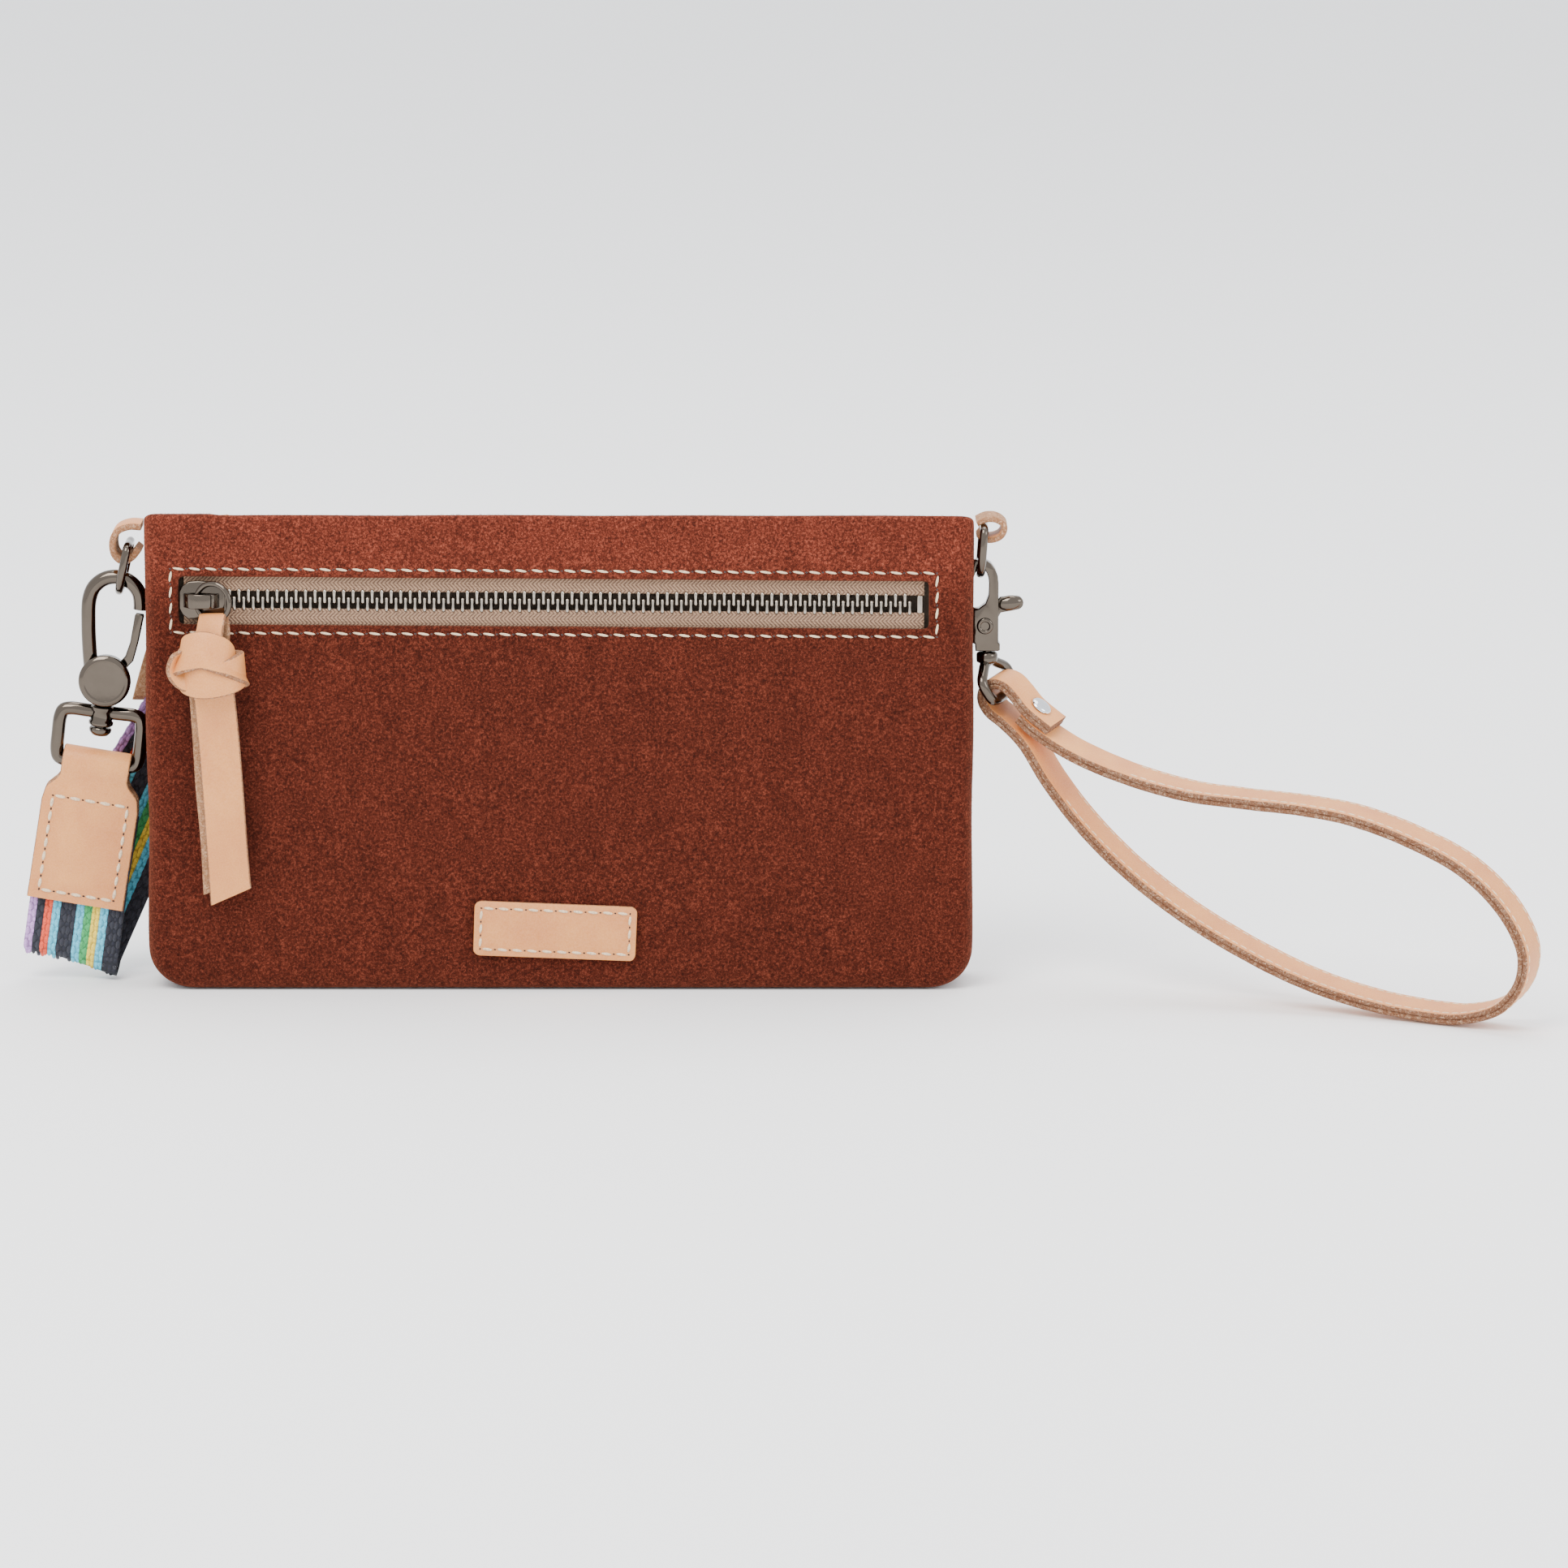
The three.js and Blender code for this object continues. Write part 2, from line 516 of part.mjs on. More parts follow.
/** The leather end of the strap, folded over the ring's lower bar and open at its bottom. */
function strapTab(parent, name) {
  const [inner, outer, slot] = [RING_BAR + 0.45, RING_BAR + 0.45 + LEATHER, WEBBING / 2 + 0.4];
  const half = slot + LEATHER;
  const a = Math.asin(slot / inner);
  const s = new THREE.Shape();
  s.moveTo(-half, -TAB_LENGTH).lineTo(-half, -7).lineTo(-outer, -1.2);
  s.absarc(0, 0, outer, Math.PI, 0, true);
  s.lineTo(outer, -1.2).lineTo(half, -7).lineTo(half, -TAB_LENGTH).lineTo(slot, -TAB_LENGTH);
  s.lineTo(slot, -inner * Math.cos(a));
  s.absarc(0, 0, inner, -Math.PI / 2 + a, Math.PI * 1.5 - a, false);
  s.lineTo(-slot, -TAB_LENGTH);
  const wide = STRAP_WIDTH / 2 + 0.2;
  const narrow = 9.2;
  const face = outline([
    [-wide, -TAB_LENGTH], [wide, -TAB_LENGTH], [wide, -9], [narrow, -4.5], [narrow, 6], [-narrow, 6],
    [-narrow, -4.5], [-wide, -9],
  ]);
  place(parent, name, common(barX(s, -wide, wide), plateXZ(face, -8, 8)), 'leather');
}

function smooth(points) {
  return new THREE.CatmullRomCurve3(points.map((p) => new THREE.Vector3(...p)), false, 'centripetal');
}

/** A flat band along a route, its width along the second list's directions. */
function band(route, across, width, thick, steps) {
  const path = smooth(route);
  const turn = smooth(across);
  const rings = [];
  for (let i = 0; i <= steps; i += 1) {
    const t = i / steps;
    const middle = path.getPoint(t);
    const ahead = path.getTangent(t);
    const side = turn.getPoint(t);
    side.addScaledVector(ahead, -side.dot(ahead)).normalize();
    const up = ahead.clone().cross(side).normalize();
    const corner = (a, b) => middle.clone().addScaledVector(side, (a * width) / 2).addScaledVector(up, (b * thick) / 2);
    rings.push([corner(-1, -1), corner(1, -1), corner(1, 1), corner(-1, 1)].map((p) => p.toArray()));
  }
  return loft(rings);
}

// Route of the webbing from inside the tab to the floor, up behind the bag and down to the hank.
const WEBBING_ROUTE = [
  [-137.0, 0, 51], [-139.3, 0, 37], [-141.6, 0, 23.4], [-143.2, 0, 13], [-144.0, 0, 6],
  [-143.9, 2.8, 2.6], [-143.2, 5.8, 6], [-141, 8.4, 12], [-135.5, 11.8, 26], [-127.5, 15, 44],
  [-120, 16.6, 60], [-113, 18, 73], [-108.5, 20.5, 80.5], [-106.5, 24.5, 83.5], [-105.5, 28.5, 80],
  [-105, 30.5, 69], [-105, 31.2, 55], [-105, 31.6, 40], [-104.8, 32, 25], [-103.6, 32, 12],
  [-101.4, 32, 6.2], [-99.4, 32, 4.2],
];
const WEBBING_ACROSS = [
  [0.98, 0, -0.165], [0.98, 0, -0.165], [0.98, 0, -0.165], [0.98, 0, -0.14], [0.98, -0.12, -0.1],
  [0.98, -0.15, -0.1], [0.98, -0.1, -0.14], [0.95, 0, -0.28], [0.92, 0, -0.38], [0.91, 0, -0.41],
  [0.91, 0, -0.41], [0.91, 0, -0.41], [0.91, 0, -0.41], [0.91, 0, -0.38], [0.94, 0, -0.3],
  [0.96, 0.15, -0.15], [0.85, 0.5, 0], [0.5, 0.86, 0], [0.15, 0.98, 0], [0, 1, 0], [0, 1, 0], [0, 1, 0],
];
const HANK = { x: [-98.6, 0], y: [18, 46], z: [1.9, 18.1] };

function makeStrap() {
  const hook = group(wallet, HOOK_CENTRE, [0, HOOK_ROLL, 0]);
  strapHook(hook, 'left');
  const tabPlace = group(hook, [0, 0, RING_BAR_Z], [0, STRAP_ROLL, 0]);
  strapTab(tabPlace, 'strap_tab');
  place(wallet, 'webbing', band(WEBBING_ROUTE, WEBBING_ACROSS, STRAP_WIDTH, WEBBING, 64), 'webbing');
  const [x, y, z] = [HANK.x, HANK.y, HANK.z];
  const r = (z[1] - z[0]) / 2;
  const side = new THREE.Shape();
  side.moveTo(x[0] + r, z[0]).lineTo(x[1] - r, z[0]).absarc(x[1] - r, z[0] + r, r, -Math.PI / 2, Math.PI / 2);
  side.lineTo(x[0] + r, z[1]).absarc(x[0] + r, z[0] + r, r, Math.PI / 2, Math.PI * 1.5);
  place(wallet, 'webbing_hank', plateXZ(side, y[0], y[1], 5), 'webbing');
  const t = 1.4;
  const tie = (grow) => box(-60 - 4, -52 - 4, y[0] - grow, y[1] + grow, z[0] - grow, z[1] + grow);
  const inside = box(-70, -40, y[0] - GAP, y[1] + GAP, z[0] - GAP, z[1] + GAP);
  place(wallet, 'hank_tie', cut(tie(GAP + t), inside), 'leather');
  const glide = plateXZ(roundedRect(17.5, 8, 2), 0, 2.4, 3).rotateX(Math.PI / 2).rotateZ(Math.PI / 2);
  glide.translate(-24, 32, z[1] + GAP);
  const slots = [-4.6, 4.6].map((dx) => box(-24 + dx - 1.9, -24 + dx + 1.9, 17.4, 46.6, z[1] - 2, z[1] + 8));
  place(wallet, 'strap_adjuster', cut(glide, ...slots), 'gunmetal');
  const far = new THREE.Group();
  const basis = new THREE.Matrix4().makeBasis(
    new THREE.Vector3(0, -1, 0), new THREE.Vector3(0, 0, -1), new THREE.Vector3(1, 0, 0));
  far.applyMatrix4(basis.setPosition(...FAR_CENTRE));
  wallet.add(far);
  strapHook(far, 'far');
  strapTab(group(far, [0, 0, RING_BAR_Z]), 'far_tab');
}

// ---- lobster clasp and wrist loop ----
function makeClasp() {
  const g = group(wallet, CLASP);
  const body = new THREE.Shape();
  body.moveTo(-2.7, -7.6).lineTo(4.1, -7.6).lineTo(4.1, -4.8).lineTo(3.8, -4.4).lineTo(3.8, 12.5);
  body.absellipse(-1.2, 12.5, 5, 7, 0, Math.PI, false);
  body.lineTo(-6.2, 11).lineTo(-3.7, 11.4).lineTo(-3.6, 12.5);
  body.absellipse(-1.2, 12.5, 2.4, 4.6, Math.PI, 0, true);
  body.lineTo(1.2, 9).lineTo(0.2, 6).lineTo(-1.8, 4.7).lineTo(-4.3, 4.6).lineTo(-4.3, -4.4).lineTo(-2.7, -4.8);
  const slot = box(-8, 8, -1.25, 1.25, -2.8, 10.6);
  const bore = pinY(1.55, -4, 4, 0, 0, 12);
  const stemHole = pinZ(1.65, -9, -4.6, STEM_X, 0, 12);
  place(g, 'clasp_body', cut(plateXZ(body, -2.3, 2.3, 8), slot, bore, stemHole), 'gunmetal');
  const lever = new THREE.Shape();
  lever.moveTo(-1.6, -1.6).lineTo(1.2, -1.8).lineTo(2.4, -0.6).lineTo(4.6, 3.4).lineTo(9.6, 4.4);
  lever.absarc(9.0, 6.4, 2.0, -Math.PI / 4, Math.PI / 2, false);
  lever.lineTo(4.4, 8.0).lineTo(2.6, 6.0).lineTo(0.6, 2.6).lineTo(-3.2, 3.4).lineTo(-4.0, 6).lineTo(-4.2, 10.2);
  lever.lineTo(-6.2, 10.2).lineTo(-6.0, 4).lineTo(-3.2, 0.6);
  const leverHole = pinY(1.5, -4, 4, 0, 0, 12);
  place(g, 'clasp_trigger', cut(plateXZ(lever, -0.95, 0.95, 4), leverHole), 'gunmetal');
  const heads = [pinY(2.4, -3.1, -2.6, 0, 0, 16), pinY(2.4, 2.6, 3.1, 0, 0, 16)];
  place(g, 'clasp_rivet', join(pinY(1.2, -2.9, 2.9, 0, 0, 12), ...heads), 'gunmetal');
  place(g, 'clasp_spring', box(-2.6, 2.6, -0.5, 0.5, -2.62, -2.3), 'teeth');
}

const LOOP_ALONG = new THREE.Vector3(Math.cos(LOOP_TURN), -Math.sin(LOOP_TURN), 0);
const LOOP_ACROSS = new THREE.Vector3(
  Math.sin(LOOP_TURN) * Math.cos(LOOP_TILT), Math.cos(LOOP_TURN) * Math.cos(LOOP_TILT), Math.sin(LOOP_TILT));
const LOOP_UP = LOOP_ALONG.clone().cross(LOOP_ACROSS);

function makeEye() {
  const collar = new THREE.Vector3(CLASP[0] + STEM_X, 0, 95.4);
  const at = (t, side) => EYE_BAR.clone().lerp(collar, t).addScaledVector(LOOP_ACROSS, side);
  const half = [[0, 5.5], [0.06, 7.6], [0.25, 8.6], [0.56, 8.7], [0.8, 5], [0.94, 1.8]];
  const loop = half.map(([t, s]) => at(t, s)).concat(half.map(([t, s]) => at(t, -s)).reverse());
  const ring = wireLoop(loop, EYE_WIRE, 36);
  const stem = join(
    pinZ(3, 95.2, 98.0, CLASP[0] + STEM_X, 0, 16),
    pinZ(1.3, 97, 100.6, CLASP[0] + STEM_X, 0, 12));
  place(wallet, 'swivel_eye', join(ring, stem), 'gunmetal');
}

// Route of the wrist loop in its own plane, from the eye's bar: along and up.
const LOOP_ROUTE = [
  [16.2, -7.8], [13.5, -6.0], [8.9, -2.6], [5.4, 1.4], [2.6, 4.0], [-0.8, 4.8], [-3.8, 2.9], [-4.6, -0.4],
  [-2.8, -3.8], [1.4, -6.9], [7.6, -12.6], [14.9, -23.8], [25.2, -36.3], [38.8, -48.6], [54.8, -59.5],
  [73.2, -69.0], [93.8, -77.0], [113.2, -81.4], [130.3, -83.0], [141.6, -82.7], [152.9, -78.7],
  [159.1, -71.4], [160.8, -63.4], [159.2, -56.9], [153.2, -47.5], [142.1, -38.1], [125.2, -30.8],
  [108.3, -26.3], [93.6, -24.9], [74.1, -24.5], [58.0, -23.8], [39.5, -20.4], [22.2, -14.7], [11.2, -8.7],
  [6.6, -5.0],
];

function makeWristLoop() {
  const g = new THREE.Group();
  const basis = new THREE.Matrix4().makeBasis(LOOP_ALONG, LOOP_ACROSS, LOOP_UP);
  g.applyMatrix4(basis.setPosition(EYE_BAR));
  wallet.add(g);
  const [w, t] = [LOOP_WIDTH / 2, LOOP_THICK / 2];
  const route = LOOP_ROUTE.map(([s, u]) => [s, 0, u]);
  const across = LOOP_ROUTE.map(() => [0, 1, 0]);
  const strip = band(route, across, 2 * w, 2 * t, 110);
  const slope = THREE.MathUtils.degToRad(39);
  const rivetAt = [9.6, -5.0];
  const turned = (shape) => shape.rotateY(slope).translate(rivetAt[0], 0, rivetAt[1]);
  place(g, 'wrist_strap', cut(strip, turned(pinZ(1.5, -12, 9, 0, 0, 10))), 'leather');
  const head = join(pinZ(1.1, -8.6, 3.8, 0, 0, 10), pinZ(3.1, 3.6, 4.4, 0, 0, 16));
  place(g, 'wrist_rivet_cap', turned(head), 'rivet');
  place(g, 'wrist_rivet_back', turned(pinZ(2.8, -9.9, -9.1, 0, 0, 16)), 'rivet');
}

makeBag();
makeLinings();
makeLabel();
makeFrontZip();
makeTopZip();
dRing('left_d_ring', LEFT_D.bow, LEFT_D.lean);
dRing('right_d_ring', RIGHT_D.bow, RIGHT_D.lean);
sideTab('left_tab', [-125.2, 130.4], [4.8, 5.8], [-125.0, 130.0], [2.5, 3.3], [-124, -120.5, 133.4, 136.0]);
sideTab('right_tab', [124.9, 134.6], [4.7, 3.9], [123.6, 134.9], [2.7, 2.1], [120.5, 123, 131.6, 137.6]);
makeStrap();
makeClasp();
makeEye();
makeWristLoop();

export default wallet;
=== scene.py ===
"""Looks of the suede wristlet wallet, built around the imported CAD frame.

Lengths are written in millimetres and become metres when a piece is placed.
"""

import json
import logging
import math
import random
from dataclasses import dataclass, field
from enum import Enum
from typing import Callable, Iterable, Sequence

import bmesh
import bpy
import numpy as np
from mathutils import Matrix, Vector, noise

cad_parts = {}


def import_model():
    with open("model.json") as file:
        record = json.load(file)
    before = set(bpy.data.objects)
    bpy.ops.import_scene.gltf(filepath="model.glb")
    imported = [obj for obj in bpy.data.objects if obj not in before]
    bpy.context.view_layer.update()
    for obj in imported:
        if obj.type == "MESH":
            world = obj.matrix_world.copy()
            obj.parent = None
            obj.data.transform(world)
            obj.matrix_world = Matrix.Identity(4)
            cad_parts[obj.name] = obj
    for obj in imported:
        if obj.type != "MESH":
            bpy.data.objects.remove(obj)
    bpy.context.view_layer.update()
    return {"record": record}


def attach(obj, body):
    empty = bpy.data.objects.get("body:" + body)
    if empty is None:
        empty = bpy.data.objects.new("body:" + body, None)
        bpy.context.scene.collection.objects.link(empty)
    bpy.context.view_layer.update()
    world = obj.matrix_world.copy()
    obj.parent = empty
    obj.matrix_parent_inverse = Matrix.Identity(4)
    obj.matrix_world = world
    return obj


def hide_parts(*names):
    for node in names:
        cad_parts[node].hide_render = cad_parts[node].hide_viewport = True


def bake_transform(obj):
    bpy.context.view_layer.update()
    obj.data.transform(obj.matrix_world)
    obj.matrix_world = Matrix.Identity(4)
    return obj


MM = 0.001
LOG = logging.getLogger("wallet")
Point = Sequence[float]
Outline = list[tuple[float, float]]


# ---------------------------------------------------------------- finishes
def linear(red: int, green: int, blue: int) -> tuple[float, float, float, float]:
    """Turn an 8-bit display colour into a linear one.

    Args:
        red: Red, 0 to 255.
        green: Green, 0 to 255.
        blue: Blue, 0 to 255.

    Returns:
        Linear red, green, blue and an alpha of one.
    """
    def one(value: int) -> float:
        share = value / 255
        return share / 12.92 if share <= 0.04045 else ((share + 0.055) / 1.055) ** 2.4

    return one(red), one(green), one(blue), 1.0


class Shader:
    """A small writer for one node material."""

    def __init__(self, name: str) -> None:
        """Start an empty material with a principled surface.

        Args:
            name: The material's name.
        """
        self.material = bpy.data.materials.new(name)
        self.material.use_nodes = True
        self.tree = self.material.node_tree
        self.surface = self.tree.nodes["Principled BSDF"]
        self.place = self.tree.nodes.new("ShaderNodeTexCoord")

    def set(self, **values: float | tuple) -> "Shader":
        """Write constants to the surface's sockets, with spaces as underscores.

        Args:
            **values: Socket names and their constants.

        Returns:
            The writer itself.
        """
        for key, value in values.items():
            self.surface.inputs[key.replace("_", " ")].default_value = value
        return self

    def noise(self, scale: float, detail: float = 3, rough: float = 0.5, twist: float = 0,
              stretch: Point = (1, 1, 1)) -> bpy.types.NodeSocket:
        """Give a noise in the piece's own coordinates.

        Args:
            scale: Cells per metre.
            detail: Octaves.
            rough: How strong the finer octaves are.
            twist: Distortion.
            stretch: Factor on each axis.

        Returns:
            The noise value socket.
        """
        turn = self.tree.nodes.new("ShaderNodeMapping")
        turn.inputs["Scale"].default_value = stretch
        self.tree.links.new(self.place.outputs["Object"], turn.inputs["Vector"])
        cell = self.tree.nodes.new("ShaderNodeTexNoise")
        cell.inputs["Scale"].default_value = scale
        cell.inputs["Detail"].default_value = detail
        cell.inputs["Roughness"].default_value = rough
        cell.inputs["Distortion"].default_value = twist
        self.tree.links.new(turn.outputs["Vector"], cell.inputs["Vector"])
        return cell.outputs["Fac"]

    def cells(self, scale: float) -> bpy.types.NodeSocket:
        """Give the distance to the nearest cell centre.

        Args:
            scale: Cells per metre.

        Returns:
            The distance socket.
        """
        cell = self.tree.nodes.new("ShaderNodeTexVoronoi")
        cell.inputs["Scale"].default_value = scale
        self.tree.links.new(self.place.outputs["Object"], cell.inputs["Vector"])
        return cell.outputs["Distance"]

    def weave(self, axis: int) -> bpy.types.NodeSocket:
        """Give one part of the piece's cloth coordinates, in millimetres.

        Args:
            axis: 0 across the cloth, 1 along it.

        Returns:
            The coordinate socket.
        """
        split = self.tree.nodes.new("ShaderNodeSeparateXYZ")
        self.tree.links.new(self.place.outputs["UV"], split.inputs["Vector"])
        return split.outputs[axis]

    def math(self, kind: str, first: object, second: object = 0.0) -> bpy.types.NodeSocket:
        """Join two values.

        Args:
            kind: The operation's name.
            first: A socket or number.
            second: A socket or number.

        Returns:
            The result socket.
        """
        node = self.tree.nodes.new("ShaderNodeMath")
        node.operation = kind
        for socket, value in zip(node.inputs, (first, second)):
            self._feed(socket, value)
        return node.outputs[0]

    def ramp(self, value: bpy.types.NodeSocket, stops: Iterable[tuple[float, tuple]]) -> bpy.types.NodeSocket:
        """Colour a value.

        Args:
            value: The socket to colour.
            stops: Places from 0 to 1 with their colours.

        Returns:
            The colour socket.
        """
        node = self.tree.nodes.new("ShaderNodeValToRGB")
        bar = node.color_ramp.elements
        stops = list(stops)
        while len(bar) < len(stops):
            bar.new(0.5)
        for stop, (at, colour) in zip(bar, stops):
            stop.position = at
            stop.color = colour
        self.tree.links.new(value, node.inputs["Fac"])
        return node.outputs["Color"]

    def mix(self, share: object, first: object, second: object, kind: str = "MIX") -> bpy.types.NodeSocket:
        """Blend two colours.

        Args:
            share: How much of the second, a socket or number.
            first: A colour or colour socket.
            second: A colour or colour socket.
            kind: The blend mode.

        Returns:
            The colour socket.
        """
        node = self.tree.nodes.new("ShaderNodeMix")
        node.data_type = "RGBA"
        node.blend_type = kind
        self._feed(node.inputs[0], share)
        self._feed(node.inputs[6], first)
        self._feed(node.inputs[7], second)
        return node.outputs[2]

    def colour(self, value: object) -> "Shader":
        """Set the surface's colour.

        Args:
            value: A colour or colour socket.

        Returns:
            The writer itself.
        """
        self._feed(self.surface.inputs["Base Color"], value)
        return self

    def rough(self, value: object, low: float, high: float) -> "Shader":
        """Set a roughness that follows a value.

        Args:
            value: A socket from 0 to 1.
            low: Roughness at 0.
            high: Roughness at 1.

        Returns:
            The writer itself.
        """
        node = self.tree.nodes.new("ShaderNodeMapRange")
        self.tree.links.new(value, node.inputs["Value"])
        node.inputs["To Min"].default_value = low
        node.inputs["To Max"].default_value = high
        self.tree.links.new(node.outputs["Result"], self.surface.inputs["Roughness"])
        return self

    def bump(self, *layers: tuple[bpy.types.NodeSocket, float]) -> "Shader":
        """Raise the surface by one or more heights.

        Args:
            *layers: Height sockets with their depth in millimetres.

        Returns:
            The writer itself.
        """
        below = None
        for height, depth in layers:
            node = self.tree.nodes.new("ShaderNodeBump")
            node.inputs["Strength"].default_value = 1
            node.inputs["Distance"].default_value = depth * MM
            self.tree.links.new(height, node.inputs["Height"])
            if below is not None:
                self.tree.links.new(below, node.inputs["Normal"])
            below = node.outputs["Normal"]
        self.tree.links.new(below, self.surface.inputs["Normal"])
        return self

    def _feed(self, socket: bpy.types.NodeSocket, value: object) -> None:
        """Link or write one input."""
        if isinstance(value, bpy.types.NodeSocket):
            self.tree.links.new(value, socket)
        else:
            socket.default_value = value


@dataclass(frozen=True)
class Suede:
    """Brushed suede: a speckled nap over broad clouds and brush streaks, with a painted highlight that
    lightens the band near the mouth.
    """

    name: str = "suede"
    dark: tuple = linear(36, 12, 8)
    body: tuple = linear(72, 28, 18)
    light: tuple = linear(118, 58, 42)
    # Painted highlight: colour factor for the top band, and the heights in metres where it fades in.
    top_rim_highlight: tuple = (1.75, 1.85, 1.95, 1)
    top_rim_highlight_from: float = 0.118
    top_rim_highlight_to: float = 0.131

    def build(self) -> bpy.types.Material:
        """Write the material.

        Returns:
            The material.
        """
        s = Shader(self.name)
        cloud = s.noise(22, 4, 0.6, 0.6)
        nap = s.noise(1350, 4, 0.8, 0.4)
        hair = s.noise(4200, 2, 0.7, 0.2, (1, 1, 0.6))
        broad = s.ramp(cloud, [(0.34, self.body), (0.66, tuple(0.82 * c for c in self.body[:3]) + (1,))])
        speck = s.ramp(nap, [(0.37, self.dark), (0.5, self.body), (0.64, self.light)])
        fine = s.ramp(hair, [(0.35, (0.55, 0.5, 0.5, 1)), (0.65, (1.25, 1.25, 1.25, 1))])
        split = s.tree.nodes.new("ShaderNodeSeparateXYZ")
        s.tree.links.new(s.place.outputs["Object"], split.inputs["Vector"])
        # Painted highlight: from 118 mm to 131 mm up, with a cloudy edge, the suede is lightened and cooled to
        # stand in for light on the rolled mouth.
        height = s.math("ADD", split.outputs["Z"], s.math("MULTIPLY", cloud, 0.012))
        share = s.math("DIVIDE", s.math("SUBTRACT", height, self.top_rim_highlight_from),
                       self.top_rim_highlight_to - self.top_rim_highlight_from)
        # upper is the painted highlight factor that is multiplied into the suede colour below.
        upper = s.ramp(share, [(0.0, (1, 1, 1, 1)), (1.0, self.top_rim_highlight)])
        streak = s.ramp(s.noise(150, 5, 0.7, 0.9, (1, 1, 0.5)),
                        [(0.32, (0.8, 0.78, 0.77, 1)), (0.68, (1.24, 1.24, 1.24, 1))])
        nap_tone = s.mix(0.85, s.mix(0.8, broad, speck), fine, "MULTIPLY")
        s.colour(s.mix(1.0, s.mix(0.8, nap_tone, streak, "MULTIPLY"), upper, "MULTIPLY"))
        s.set(Roughness=0.97, Sheen_Weight=0.35, Sheen_Roughness=0.4, Sheen_Tint=linear(214, 132, 100))
        s.surface.inputs["Specular IOR Level"].default_value = 0.08
        return s.bump((cloud, 0.7), (nap, 0.42), (hair, 0.16)).material


@dataclass(frozen=True)
class Leather:
    """Vegetable-tanned leather, or its cut edge and flesh side when raw."""

    name: str
    dark: tuple
    light: tuple
    roughness: float = 0.5
    raw: bool = False

    def build(self) -> bpy.types.Material:
        """Write the material.

        Returns:
            The material.
        """
        s = Shader(self.name)
        stain = s.noise(60, 4, 0.6, 0.4)
        grain = s.noise(1500 if self.raw else 2400, 4, 0.7)
        tone = s.ramp(stain, [(0.3, self.dark), (0.7, self.light)])
        if self.raw:
            fibre = s.noise(1100, 5, 0.85, 1.2)
            shade = s.ramp(fibre, [(0.32, linear(96, 60, 38)), (0.5, self.dark),
                                   (0.68, linear(238, 205, 170))])
            s.colour(s.mix(0.7, tone, shade))
            return s.bump((fibre, 0.55), (grain, 0.2)).set(Roughness=0.95).material
        pores = s.cells(1500)
        s.colour(s.mix(0.12, tone, s.ramp(grain,
                                          [(0.35, linear(190, 140, 100)), (0.65, linear(255, 222, 190))])))
        s.rough(stain, self.roughness - 0.06, self.roughness + 0.08)
        return s.bump((grain, 0.06), (pores, 0.03), (stain, 0.15)).material


@dataclass(frozen=True)
class Metal:
    """Plated metal, polished or lightly worn."""

    name: str
    tone: tuple
    roughness: float

    def build(self) -> bpy.types.Material:
        """Write the material.

        Returns:
            The material.
        """
        s = Shader(self.name)
        smear = s.noise(160, 4, 0.6)
        s.colour(s.mix(0.3, self.tone, s.ramp(smear, [(0.35, tuple(0.7 * c for c in self.tone[:3]) + (1,)),
                                                      (0.65, self.tone)])))
        s.rough(smear, self.roughness * 0.7, self.roughness * 1.5)
        return s.set(Metallic=1.0).bump((s.noise(900, 2), 0.008)).material


@dataclass(frozen=True)
class Yarn:
    """Spun thread or yarn of one colour."""

    name: str
    tone: tuple
    depth: float = 0.12

    def build(self) -> bpy.types.Material:
        """Write the material.

        Returns:
            The material.
        """
        s = Shader(self.name)
        strand = s.noise(2600, 3, 0.7, 0.5)
        low = tuple(0.5 * c for c in self.tone[:3]) + (1,)
        s.colour(s.ramp(strand, [(0.3, low), (0.6, self.tone)]))
        return s.set(Roughness=0.85, Sheen_Weight=0.25).bump((strand, self.depth)).material


@dataclass(frozen=True)
class Herringbone:
    """Zip tape: chevron rows of two yarns."""

    name: str = "zip_tape"
    light: tuple = linear(178, 142, 112)
    dark: tuple = linear(84, 58, 42)
    pitch: float = 1.15
    row: float = 1.7

    def build(self) -> bpy.types.Material:
        """Write the material.

        Returns:
            The material.
        """
        s = Shader(self.name)
        across = s.weave(0)
        slant = s.math("PINGPONG", across, self.row)
        stripe = s.math("FRACT", s.math("DIVIDE", s.math("ADD", s.weave(1), slant), self.pitch))
        pick = s.math("PINGPONG", s.math("MULTIPLY", across, 1.0), 0.24)
        fuzz = s.noise(1500, 3, 0.7)
        height = s.math("MULTIPLY", s.math("PINGPONG", stripe, 0.5),
                        s.math("ADD", s.math("MULTIPLY", pick, 3.0), 0.4))
        tone = s.ramp(s.math("ADD", s.math("MULTIPLY", height, 1.5), s.math("MULTIPLY", fuzz, 0.35)),
                      [(0.2, self.dark), (0.75, self.light)])
        return s.colour(tone).set(Roughness=0.9, Sheen_Weight=0.2).bump((height, 0.6), (fuzz, 0.15)).material


